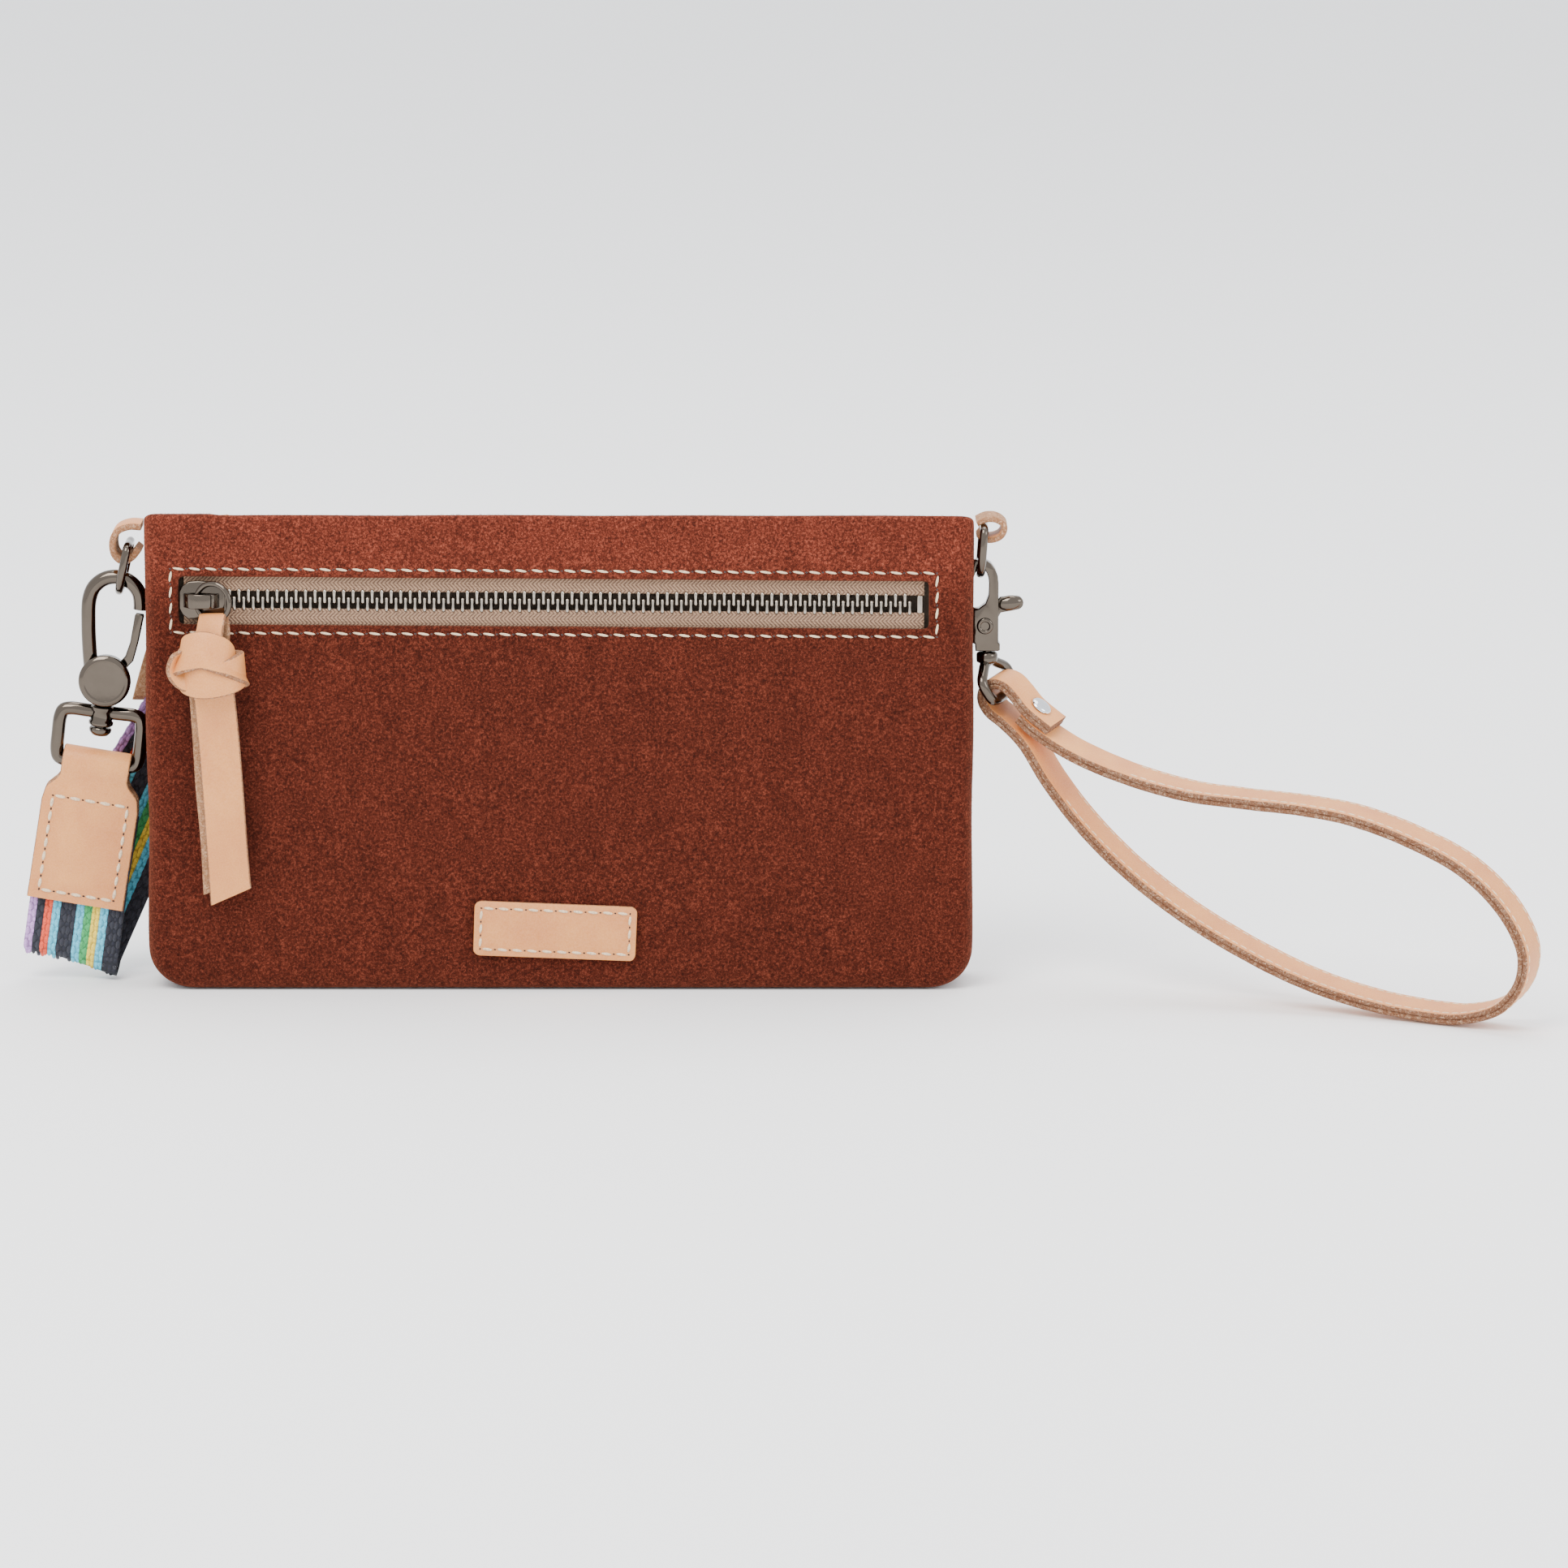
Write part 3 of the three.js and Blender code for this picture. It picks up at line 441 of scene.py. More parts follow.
@dataclass(frozen=True)
class Stripes:
    """Plain side of the striped webbing, coloured by its cloth coordinates."""

    name: str
    bands: tuple[tuple[float, tuple], ...]
    width: float

    def build(self) -> bpy.types.Material:
        """Write the material.

        Returns:
            The material.
        """
        s = Shader(self.name)
        across = s.math("DIVIDE", s.weave(0), self.width)
        tone = s.ramp(across, self.bands)
        for node in s.tree.nodes:
            if node.bl_idname == "ShaderNodeValToRGB":
                node.color_ramp.interpolation = "CONSTANT"
        rib = s.math("PINGPONG", s.weave(1), 0.9)
        cord = s.math("PINGPONG", s.weave(0), 0.7)
        height = s.math("MULTIPLY", rib, cord)
        fuzz = s.noise(2000, 3, 0.7)
        # Painted shade: the weave's low grooves, where rib and cord heights are small, are darkened to about a
        # third, with some random fuzz.
        shade = s.ramp(s.math("ADD", height, s.math("MULTIPLY", fuzz, 0.3)),
                       [(0.1, (0.35, 0.35, 0.35, 1)), (0.5, (1, 1, 1, 1))])
        return s.colour(s.mix(1.0, tone, shade, "MULTIPLY")).set(Roughness=0.85).bump((height, 0.5),
            (fuzz, 0.12)).material


@dataclass(frozen=True)
class Lining:
    """Plain lining cloth."""

    name: str = "lining"
    tone: tuple = linear(112, 98, 84)

    def build(self) -> bpy.types.Material:
        """Write the material.

        Returns:
            The material.
        """
        s = Shader(self.name)
        thread = s.noise(1400, 2, 0.6, 0, (1, 1, 6))
        weft = s.noise(1400, 2, 0.6, 0, (6, 1, 1))
        low = tuple(0.6 * c for c in self.tone[:3]) + (1,)
        s.colour(s.ramp(s.math("ADD", s.math("MULTIPLY", thread, 0.5), s.math("MULTIPLY", weft, 0.5)),
                        [(0.3, low), (0.6, self.tone)]))
        return s.set(Roughness=0.88).bump((thread, 0.15), (weft, 0.15)).material


@dataclass(frozen=True)
class Plain:
    """The floor under the wallet."""

    name: str = "floor"
    tone: tuple = (0.9, 0.9, 0.9, 1)

    def build(self) -> bpy.types.Material:
        """Write the material.

        Returns:
            The material.
        """
        s = Shader(self.name)
        s.colour(s.mix(0.02, self.tone, s.ramp(s.noise(6), [(0.4, (0.8, 0.8, 0.8, 1)), (0.6, (1, 1, 1, 1))])))
        return s.set(Roughness=0.8).material


BLACK = linear(34, 36, 48)
YARNS = {
    "lilac": linear(196, 150, 214),
    "black": BLACK,
    "orange": linear(236, 84, 52),
    "cyan": linear(92, 196, 224),
    "green": linear(60, 168, 96),
    "yellow": linear(244, 212, 70),
}
# Colour of each pair of float columns, left to right.
STRIPE_ORDER = ("lilac", "black", "orange", "cyan", "black", "black", "cyan", "green", "yellow", "cyan",
                "black", "black")


class Finish(Enum):
    """Every finish of the wallet."""

    SUEDE = Suede()
    LEATHER = Leather("leather", linear(192, 112, 42), linear(212, 136, 60))
    LEATHER_EDGE = Leather("leather_edge", linear(150, 98, 62), linear(186, 132, 90), raw=True)
    LEATHER_FLESH = Leather("leather_flesh", linear(164, 114, 76), linear(198, 148, 106), raw=True)
    STRAP_EDGE = Leather("strap_edge", linear(118, 72, 44), linear(152, 100, 64), raw=True)
    GUNMETAL = Metal("gunmetal", linear(88, 80, 72), 0.08)
    NICKEL = Metal("nickel", linear(164, 154, 142), 0.2)
    SILVER = Metal("silver", linear(214, 216, 220), 0.16)
    THREAD = Yarn("thread", linear(232, 206, 170))
    # Painted shade: this dark colour stands in for the shade inside each needle hole.
    HOLE_SHADE = Yarn("needle_hole_shade", linear(44, 22, 14))
    TAPE = Herringbone()
    LINING = Lining()
    FLOOR = Plain()
    LILAC = Yarn("yarn_lilac", YARNS["lilac"])
    BLACK = Yarn("yarn_black", YARNS["black"])
    ORANGE = Yarn("yarn_orange", YARNS["orange"])
    CYAN = Yarn("yarn_cyan", YARNS["cyan"])
    GREEN = Yarn("yarn_green", YARNS["green"])
    YELLOW = Yarn("yarn_yellow", YARNS["yellow"])
    WEBBING = Stripes("webbing", tuple((k / len(STRIPE_ORDER), YARNS[c]) for k, c in enumerate(STRIPE_ORDER)),
                      28.0)


FINISHED: dict[Finish, bpy.types.Material] = {}


def finish(kind: Finish) -> bpy.types.Material:
    """Give a finish's material, written once.

    Args:
        kind: The finish.

    Returns:
        The material.
    """
    if kind not in FINISHED:
        FINISHED[kind] = kind.value.build()
    return FINISHED[kind]


# ---------------------------------------------------------------- shapes
def spline(points: Sequence[Point], count: int, closed: bool = False) -> list[Vector]:
    """Run a smooth curve through points, evenly spaced.

    Args:
        points: The points to pass through.
        count: How many points to give back.
        closed: Whether the curve returns to its start.

    Returns:
        The evenly spaced points.
    """
    known = [np.array(p, float) for p in points]
    n = len(known)
    if closed:
        known = [known[-1]] + known + known[:2]
    else:
        known = [2 * known[0] - known[1]] + known + [2 * known[-1] - known[-2]]
    dense = []
    for k in range(1, n + (1 if closed else 0)):
        p0, p1, p2, p3 = known[k - 1:k + 3]
        d1, d2, d3 = (max(np.linalg.norm(b - a), 1e-6) ** 0.5 for a, b in ((p0, p1), (p1, p2), (p2, p3)))
        m1 = d2 * ((p1 - p0) / d1 - (p2 - p0) / (d1 + d2) + (p2 - p1) / d2)
        m2 = d2 * ((p2 - p1) / d2 - (p3 - p1) / (d2 + d3) + (p3 - p2) / d3)
        for t in np.linspace(0, 1, 16, endpoint=False):
            a, b = 2 * t ** 3 - 3 * t ** 2 + 1, t ** 3 - 2 * t ** 2 + t
            dense.append(a * p1 + b * m1 + (3 * t ** 2 - 2 * t ** 3) * p2 + (t ** 3 - t ** 2) * m2)
    dense.append(known[1] if closed else known[-2])
    dense = np.array(dense)
    far = np.concatenate([[0], np.cumsum(np.linalg.norm(np.diff(dense, axis=0), axis=1))])
    at = np.linspace(0, far[-1], count + 1)[:-1] if closed else np.linspace(0, far[-1], count)
    return [Vector([float(np.interp(a, far, dense[:, j])) for j in range(dense.shape[1])]) for a in at]


def arc(centre: Point, radius: float, start: float, end: float, count: int = 10) -> Outline:
    """Give points on a circle's arc.

    Args:
        centre: The circle's centre.
        radius: Its radius.
        start: First angle in degrees.
        end: Last angle in degrees.
        count: How many points.

    Returns:
        The points.
    """
    angles = np.radians(np.linspace(start, end, count))
    return [(centre[0] + radius * math.cos(a), centre[1] + radius * math.sin(a)) for a in angles]


def rounded_box(half_x: float, half_z: float, radius: float, count: int = 5) -> Outline:
    """Outline a rectangle with rounded corners.

    Args:
        half_x: Half its width.
        half_z: Half its height.
        radius: Corner radius.
        count: Points on each corner.

    Returns:
        The outline, anticlockwise.
    """
    out: Outline = []
    for k, (sx, sz) in enumerate(((1, 1), (-1, 1), (-1, -1), (1, -1))):
        out += arc((sx * (half_x - radius), sz * (half_z - radius)), radius, 90 * k, 90 * (k + 1), count)
    return out


def strip_section(width: float, thick: float, flip: bool = False) -> tuple[Outline, list[int]]:
    """Section of a leather strip with softly rounded edges.

    Args:
        width: Across the strip.
        thick: Its thickness.
        flip: Whether the grain is on the section's lower side.

    Returns:
        The section, and for each side 0 grain, 1 cut edge or 2 flesh.
    """
    outline = rounded_box(width / 2, thick / 2, thick * 0.3, 4)
    sides = []
    for k, (a, b) in enumerate(outline):
        nxt = outline[(k + 1) % len(outline)]
        rim = width / 2 - thick * 0.22
        if a * nxt[0] > 0 and min(abs(a), abs(nxt[0])) > rim:
            sides.append(1)
        else:
            sides.append(0 if (b > 0) != flip else 2)
    return outline, sides


@dataclass
class Sculpt:
    """Points and faces of one piece, in its local millimetres."""

    points: list[Vector] = field(default_factory=list)
    faces: list[tuple[int, ...]] = field(default_factory=list)
    tones: list[int] = field(default_factory=list)
    cloth: dict[int, tuple[float, float]] = field(default_factory=dict)

    def face(self, corners: Sequence[int], tone: int = 0) -> None:
        """Add one face.

        Args:
            corners: Point numbers.
            tone: Which of the piece's finishes it takes.
        """
        self.faces.append(tuple(corners))
        self.tones.append(tone)

    def sweep(self, path: Sequence[Vector], across: Vector | Sequence[Vector], section: Outline,
              closed: bool = False,
              sides: Sequence[int] | None = None, scale: Callable[[float], float] | None = None) -> "Sculpt":
        """Carry a section along a path.

        Args:
            path: Centre points.
            across: The section's first direction, one for all or one per point.
            section: Points across and up from the centre.
            closed: Whether the path is a loop.
            sides: The finish number of each side.
            scale: The section's size from the share of the way along.

        Returns:
            The piece itself.
        """
        first, n, count = len(self.points), len(section), len(path)
        for i, centre in enumerate(path):
            ahead = (path[(i + 1) % count] if closed or i + 1 < count else centre) - (
                path[i - 1] if closed or i else centre)
            ahead.normalize()
            side = Vector(across[i] if isinstance(across, (list, tuple)) else across)
            side = (side - ahead * side.dot(ahead)).normalized()
            up = side.cross(ahead)
            grow = scale(i / max(1, count - 1)) if scale else 1.0
            self.points += [centre + side * (a * grow) + up * (b * grow) for a, b in section]
        for i in range(count if closed else count - 1):
            row, nxt = first + i * n, first + ((i + 1) % count) * n
            for k in range(n):
                e = (k + 1) % n
                self.face((row + k, row + e, nxt + e, nxt + k), sides[k] if sides else 0)
        if not closed:
            tone = 1 if sides else 0
            self.face([first + k for k in reversed(range(n))], tone)
            self.face([first + (count - 1) * n + k for k in range(n)], tone)
        return self

    def tube(self, points: Sequence[Point], radius: float, across: Point, count: int, closed: bool = False,
             scale: Callable[[float], float] | None = None) -> "Sculpt":
        """Bend a round wire.

        Args:
            points: Points to pass through.
            radius: Of the wire.
            across: Normal of the wire's plane.
            count: Sections along it.
            closed: Whether it is a loop.
            scale: The wire's size from the share of the way along.

        Returns:
            The piece itself.
        """
        return self.sweep(spline(points, count, closed), Vector(across), arc((0, 0), radius, 0, 342, 20),
                          closed, None, scale)

    def lathe(self, profile: Outline, base: Point, axis: Point, count: int = 40) -> "Sculpt":
        """Turn a profile about an axis.

        Args:
            profile: Radius and height points, from one end to the other.
            base: Where height 0 is.
            axis: Direction of height.
            count: Steps round the axis.

        Returns:
            The piece itself.
        """
        up = Vector(axis).normalized()
        side = up.orthogonal().normalized()
        other = up.cross(side)
        first = len(self.points)
        for radius, height in profile:
            for k in range(count):
                a = 2 * math.pi * k / count
                spoke = side * math.cos(a) + other * math.sin(a)
                self.points.append(Vector(base) + up * height + spoke * radius)
        for i in range(len(profile) - 1):
            for k in range(count):
                a, b = first + i * count + k, first + i * count + (k + 1) % count
                self.face((a, b, b + count, a + count))
        self.face([first + k for k in reversed(range(count))])
        self.face([first + (len(profile) - 1) * count + k for k in range(count)])
        return self

    def bead(self, centre: Point, along: Point, up: Point, sizes: Point, tone: int = 0,
             steps: int = 8) -> "Sculpt":
        """Add an egg shape.

        Args:
            centre: Its middle.
            along: Direction of its first size.
            up: Rough direction of its third size.
            sizes: Half lengths.
            tone: Finish number.
            steps: Faces round it.

        Returns:
            The piece itself.
        """
        x = Vector(along).normalized()
        z = (Vector(up) - x * Vector(up).dot(x)).normalized()
        y = z.cross(x)
        first, rows = len(self.points), max(3, steps // 2)
        for i in range(1, rows):
            polar = math.pi * i / rows
            for k in range(steps):
                a = 2 * math.pi * k / steps
                self.points.append(Vector(centre) + x * (sizes[0] * math.cos(polar)) + (
                    y * (sizes[1] * math.cos(a)) + z * (sizes[2] * math.sin(a))) * math.sin(polar))
        ends = len(self.points)
        self.points += [Vector(centre) + x * sizes[0], Vector(centre) - x * sizes[0]]
        for k in range(steps):
            e = (k + 1) % steps
            self.face((ends, first + k, first + e), tone)
            last = first + (rows - 2) * steps
            self.face((ends + 1, last + e, last + k), tone)
            for i in range(rows - 2):
                a, b = first + i * steps + k, first + i * steps + e
                self.face((a, a + steps, b + steps, b), tone)
        return self

    def slab(self, outline: Outline, low: float, high: float, edge: float, steps: int = 3) -> "Sculpt":
        """Add a plate in the local XZ plane with rounded rims.

        Args:
            outline: Its outline.
            low: Lowest Y.
            high: Highest Y.
            edge: Rim radius.
            steps: Faces across each rim.

        Returns:
            The piece itself.
        """
        shape = bmesh.new()
        base = shape.faces.new([shape.verts.new((x, low, z)) for x, z in outline])
        top = bmesh.ops.extrude_face_region(shape, geom=[base])
        bmesh.ops.translate(shape, vec=(0, high - low, 0),
                            verts=[g for g in top["geom"] if isinstance(g, bmesh.types.BMVert)])
        rims = [e for e in shape.edges if abs(e.verts[0].co.y - e.verts[1].co.y) < 1e-6]
        bmesh.ops.bevel(shape, geom=rims, offset=edge, segments=steps, affect="EDGES", profile=0.5)
        bmesh.ops.recalc_face_normals(shape, faces=shape.faces)
        shape.verts.index_update()
        first = len(self.points)
        self.points += [v.co.copy() for v in shape.verts]
        for f in shape.faces:
            self.face([first + v.index for v in f.verts])
        shape.free()
        return self

    def stitches(self, path: Sequence[Point], up: Point | Callable[[Vector], Vector], pitch: float,
                 radius: float,
                 slant: float = 0.12, fill: float = 0.72) -> "Sculpt":
        """Sew a row of thread along a line, with a dark bead of painted shade for the needle hole at each end
        of each stitch.

        Args:
            path: The line, corner to corner.
            up: Out of the material, one direction or a function of the place.
            pitch: Stitch length.
            radius: Of the thread.
            slant: How far a stitch turns off the line.
            fill: Share of the pitch covered by thread.

        Returns:
            The piece itself.
        """
        for start, end in zip(path[:-1], path[1:]):
            start, end = Vector(start), Vector(end)
            count = max(1, round((end - start).length / pitch))
            step = (end - start) / count
            for k in range(count):
                middle = start + step * (k + 0.5)
                out = Vector(up(middle)) if callable(up) else Vector(up)
                side = step.normalized().cross(out)
                along = step.normalized() + side * slant
                self.bead(middle + out * radius * 0.15, along, out,
                          (step.length * fill / 2, radius * 1.05, radius * 0.9), 0, 8)
                # Painted shade: a flat dark bead, sunk at the needle hole, stands in for the shade inside the
                # hole.
                hole = start + step * k
                self.bead(hole - out * 0.1, along, out, (radius * 1.0, radius * 0.8, 0.28), 1, 6)
        return self


@dataclass
class Place:
    """Where a local piece sits in the wallet, in millimetres."""

    at: Vector
    turn: Matrix = field(default_factory=lambda: Matrix.Identity(3))

    def point(self, local: Vector) -> Vector:
        """Carry a local point into the wallet, in metres.

        Args:
            local: The point in local millimetres.

        Returns:
            The point in metres.
        """
        return (self.at + self.turn @ local) * MM


HERE = Place(Vector((0, 0, 0)))


@dataclass
class Workshop:
    """Turns sculpts into Blender pieces and keeps count of them."""

    record: dict
    bodies: dict[str, str] = field(default_factory=dict)
    made: list[str] = field(default_factory=list)

    def __post_init__(self) -> None:
        """Note which body each CAD node belongs to."""
        for body, nodes in self.record["behaviour"]["bodies"].items():
            for node in nodes:
                self.bodies[node] = body

    def joint(self, name: str) -> Vector:
        """Give a joint's place in millimetres.

        Args:
            name: The joint's name.

        Returns:
            Its place.
        """
        row = next(j for j in self.record["behaviour"]["joints"] if j["name"] == name)
        return Vector(row["pos_m"]) / MM

    def make(self, name: str, shape: Sculpt, finishes: Sequence[Finish], slot: str, node: str | None = None,
             body: str | None = None, place: Place = HERE, smooth: bool = True,
             ride: bool = True) -> bpy.types.Object:
        """Build a piece and let it ride.

        Args:
            name: The piece's name.
            shape: Its points and faces.
            finishes: Its finishes, by face number.
            slot: The record's material slot; not used.
            node: The CAD node that it replaces, if any.
            body: The body it rides, or the replaced node's.
            place: Where it sits.
            smooth: Whether faces shade smoothly.
            ride: Whether it rides one body now.

        Returns:
            The Blender object.
        """
        mesh = bpy.data.meshes.new(name)
        mesh.from_pydata([place.point(p) for p in shape.points], [], shape.faces)
        for kind in finishes:
            mesh.materials.append(finish(kind))
        mesh.polygons.foreach_set("material_index", [min(t, len(finishes) - 1) for t in shape.tones])
        if shape.cloth:
            layer = mesh.uv_layers.new(name="cloth")
            for loop in mesh.loops:
                layer.data[loop.index].uv = shape.cloth.get(loop.vertex_index, (0, 0))
        piece = bpy.data.objects.new(name, mesh)
        bpy.context.scene.collection.objects.link(piece)
        mesh.validate()
        tidy = bmesh.new()
        tidy.from_mesh(mesh)
        bmesh.ops.recalc_face_normals(tidy, faces=tidy.faces)
        tidy.to_mesh(mesh)
        tidy.free()
        mesh.polygons.foreach_set("use_smooth", [smooth] * len(mesh.polygons))
        if smooth:
            mesh.set_sharp_from_angle(angle=math.radians(48))
        if ride:
            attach(piece, body or self.bodies[node])
        if node:
            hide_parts(node)
        self.made.append(name)
        return piece


def wobble(x: float, y: float, size: float, seed: float = 0.0) -> float:
    """Give a smooth random height.

    Args:
        x: First coordinate.
        y: Second coordinate.
        size: Width of its waves.
        seed: Which pattern.

    Returns:
        A value around -1 to 1.
    """
    return noise.noise(Vector((x / size, y / size, seed)))


# ---------------------------------------------------------------- the bag
@dataclass
class Bag:
    """Suede body of the wallet."""

    half_width: float = 120.0
    front_top: float = 139.5
    back_top: float = 134.5
    seam_y: float = 3.0
    corner: float = 4.2
    bottom_radius: float = 11.5
    roll: float = 1.45
    skin: float = 1.15
    hem: float = 7.0
    window: tuple[float, float, float, float] = (-109.8, 106.8, 114.2, 6.9)
    window_x: float = -1.5
    zip_roll: float = math.radians(0.4)
    notch: tuple[float, float, float] = (-107.0, -92.5, 4.6)
    face_step: float = 2.4

    def depth(self, z: float) -> float:
        """Half depth at a height.

        Args:
            z: Height.

        Returns:
            Half the bag's depth there.
        """
        low = 10.9 + 2.1 * math.sqrt(max(0.0, 1 - (1 - min(z, 6) / 6) ** 2))
        return float(np.interp(z, [0, 6, 12, 40, 80, self.front_top],
                               [low, 13, 13, 12.8, 11.6, 9.4])) if z > 6 else low

    def width(self, z: float) -> float:
        """Half width at a height.

        Args:
            z: Height.

        Returns:
            Half the bag's width there.
        """
        short = 1 - min(z, self.bottom_radius) / self.bottom_radius
        return self.half_width - self.bottom_radius * (1 - math.sqrt(max(0.0, 1 - short ** 2)))

    def fold(self, z: float) -> float:
        """Depth of the side fold at a height.

        Args:
            z: Height.

        Returns:
            How far the side seam lies inside the corners.
        """
        return float(np.interp(z, [0, 6, 12, 40, 80], [0, 0.6, 1.8, 4, 6.2]))

    def columns(self, front: bool) -> list[tuple[str, float]]:
        """List the columns from the left seam to the right seam.

        Args:
            front: Whether for the front panel.

        Returns:
            Each column's part and place in it.
        """
        side = [("left", t) for t in np.linspace(0, 1, 9)[:-1]] + [("left_arc", t) for t in np.linspace(0, 1,
            7)[:-1]]
        edge = self.half_width - self.corner
        marks = [-edge, edge] + ([self.window[0], self.window[1]] if front else [self.notch[0],
            self.notch[1]])
        marks = sorted(marks)
        face: list[float] = []
        for a, b in zip(marks[:-1], marks[1:]):
            count = max(2, round((b - a) / self.face_step))
            face += list(np.linspace(a, b, count, endpoint=False))
        face.append(marks[-1])
        mirror = [(k.replace("left", "right"), t) for k, t in reversed(side)]
        return side + [("face", x) for x in face] + mirror

    def skin_point(self, column: tuple[str, float], z: float, sign: float) -> Vector:
        """Give a point on the outer skin.

        Args:
            column: Part and place.
            z: Height.
            sign: -1 for the front, 1 for the back.

        Returns:
            The point.
        """
        kind, t = column
        w, d, f = self.width(z), self.depth(z), self.fold(z)
        if kind == "face":
            x = t * (w - self.corner) / (self.half_width - self.corner)
            y = -d
        else:
            if kind.endswith("arc"):
                a = t * math.pi / 2
                x = w - self.corner + self.corner * math.cos(a)
                y = -d + self.corner - self.corner * math.sin(a)
            else:
                far = -d + self.corner
                x = w - f * (0.5 + 0.5 * math.cos(math.pi * t))
                y = (self.seam_y if sign < 0 else -self.seam_y) * (1 - t) + far * t
            if kind.startswith("left"):
                x = -x
        return Vector((x, y * -sign, z))

    def relief(self, point: Vector, sign: float) -> Vector:
        """Give the suede's soft waves at a point.

        Args:
            point: On the skin.
            sign: -1 for the front, 1 for the back.

        Returns:
            How far to move it.
        """
        x, y, z = point
        low = min(1.0, max(0.0, z / 10))
        wave = 0.55 * wobble(x, z, 70, sign) + 0.28 * wobble(x, z, 26, 5 + sign) + 0.1 * wobble(x, z, 9, 9)
        for cx, cz, slope in ((-113, 8, 1.0), (113.5, 7, -1.0)):
            along = (x - cx) * slope * 0.5 + (z - cz) * 0.86
            away = (x - cx) * 0.86 * slope - (z - cz) * 0.5
            wave -= 0.9 * math.exp(-(away / 1.3) ** 2 - (along / 5.5) ** 2)
        wx0, wx1, wz, half = self.window
        if sign < 0:
            gap = max(abs(z - wz) - half, max(wx0 - x, x - wx1), 0.0)
            wave -= 0.3 * math.exp(-((gap - 2.4) / 1.0) ** 2)
            wave += 0.12 * math.sin(x * 1.34) * math.exp(-((gap - 2.4) / 2.0) ** 2)
            if z > 92:
                wave = max(wave, -0.2)
        top = self.front_top if sign < 0 else self.back_top
        rim = math.exp(-((top - z) / 9) ** 2)
        lift = 0.5 * wobble(x, 0, 48, 3 + sign) * rim + (0.5 * rim if sign < 0 and x < -100 else 0)
        out = Vector((0, sign * wave * low, lift))
        if abs(abs(x) - self.half_width) < 6:
            out.x = 0.6 * wobble(z, y, 34, 11 + math.copysign(2, x)) * low
        return out

    def shear(self, point: Vector) -> float:
        """Give how far the window's tilt moves a point.

        Args:
            point: On the skin.

        Returns:
            The change of height.
        """
        away = (point.z - self.window[2]) / 14
        return -math.tan(self.zip_roll) * (point.x - self.window_x) * math.exp(-away ** 4)

    def rows(self, top: float, front: bool) -> list[float]:
        """List the heights of the skin's rows.

        Args:
            top: Height of the mouth.
            front: Whether the window's edges are rows.

        Returns:
            The heights, bottom to top.
        """
        heights = [0.25 + 11.5 * (1 - math.cos(t)) for t in np.linspace(0.0, math.pi / 2, 9)]
        marks = [heights[-1], top - self.roll]
        if front:
            marks[1:1] = [self.window[2] - self.window[3], self.window[2] + self.window[3]]
        for a, b in zip(marks[:-1], marks[1:]):
            heights += list(np.linspace(a, b, max(3, round((b - a) / self.face_step)) + 1))[1:]
        return heights

    def panel(self, front: bool) -> Sculpt:
        """Sculpt one panel's outer skin and rolled mouth.

        Args:
            front: Front or back.

        Returns:
            The skin, one sheet thick.
        """
        sign = -1.0 if front else 1.0
        top = self.front_top if front else self.back_top
        columns = self.columns(front)
        heights = self.rows(top, front)
        shape = Sculpt()
        grid: list[list[int]] = []

        def add(points: list[Vector]) -> None:
            grid.append(list(range(len(shape.points), len(shape.points) + len(points))))
            shape.points += points

        foot = [self.skin_point(c, heights[0], sign) for c in columns]
        for share in (0.0, 0.4, 0.75):
            add([Vector((p.x * (0.93 + 0.07 * share), p.y * share + (1 - share) * self.seam_y,
                         p.z)) for p in foot])
        for z in heights:
            row = []
            for column in columns:
                p = self.skin_point(column, z, sign)
                p += self.relief(p, sign)
                if front:
                    p.z += self.shear(p) - self.droop(column) * min(1.0, max(0.0, (z - top + 34) / 34)) ** 2
                row.append(p)
            add(row)
        last = [shape.points[k] for k in grid[-1]]
        steps = [(math.pi * t) for t in np.linspace(0, 1, 9)[1:]]
        for a in steps:
            add([self._over(c, p, self.roll * (1 - math.cos(a)), self.roll * math.sin(a), sign) for c,
                 p in zip(columns, last)])
        for drop in np.linspace(0, self.hem, 5)[1:]:
            add([self._over(c, p, 2 * self.roll, -drop, sign) for c, p in zip(columns, last)])
        if not front:
            self._press(shape, top)
        wx0, wx1, wz, half = self.window
        flip = front
        for i in range(len(grid) - 1):
            for k in range(len(columns) - 1):
                if front and 3 <= i < 3 + len(heights) - 1:
                    low, high = heights[i - 3], heights[i - 2]
                    inside = low >= wz - half - 1e-6 and high <= wz + half + 1e-6
                    cols = columns[k], columns[k + 1]
                    if inside and all(c[0] == "face" and wx0 - 1e-6 <= c[1] <= wx1 + 1e-6 for c in cols):
                        continue
                corners = (grid[i][k], grid[i][k + 1], grid[i + 1][k + 1], grid[i + 1][k])
                shape.face(corners if flip else tuple(reversed(corners)))
        return shape

    def droop(self, column: tuple[str, float]) -> float:
        """Give how far the front's mouth falls towards the side seam.

        Args:
            column: Part and place.

        Returns:
            The drop.
        """
        kind, t = column
        if kind == "face":
            return 0.0
        return 1.2 * (1 - t) ** 2 if kind.endswith("arc") else 1.2 + 3.6 * (1 - t)

    def _over(self, column: tuple[str, float], point: Vector, inwards: float, up: float,
              sign: float) -> Vector:
        """Carry a mouth point over the roll."""
        kind, t = column
        if kind == "face":
            normal = Vector((0, -sign, 0))
        else:
            a = t * math.pi / 2 if kind.endswith("arc") else 0
            normal = Vector((-math.cos(a), -sign * -1 * -math.sin(a),
                             0)) if kind.endswith("arc") else Vector((-1, 0, 0))
            if kind.startswith("left"):
                normal.x = -normal.x
        return point + normal * inwards + Vector((0, 0, up))

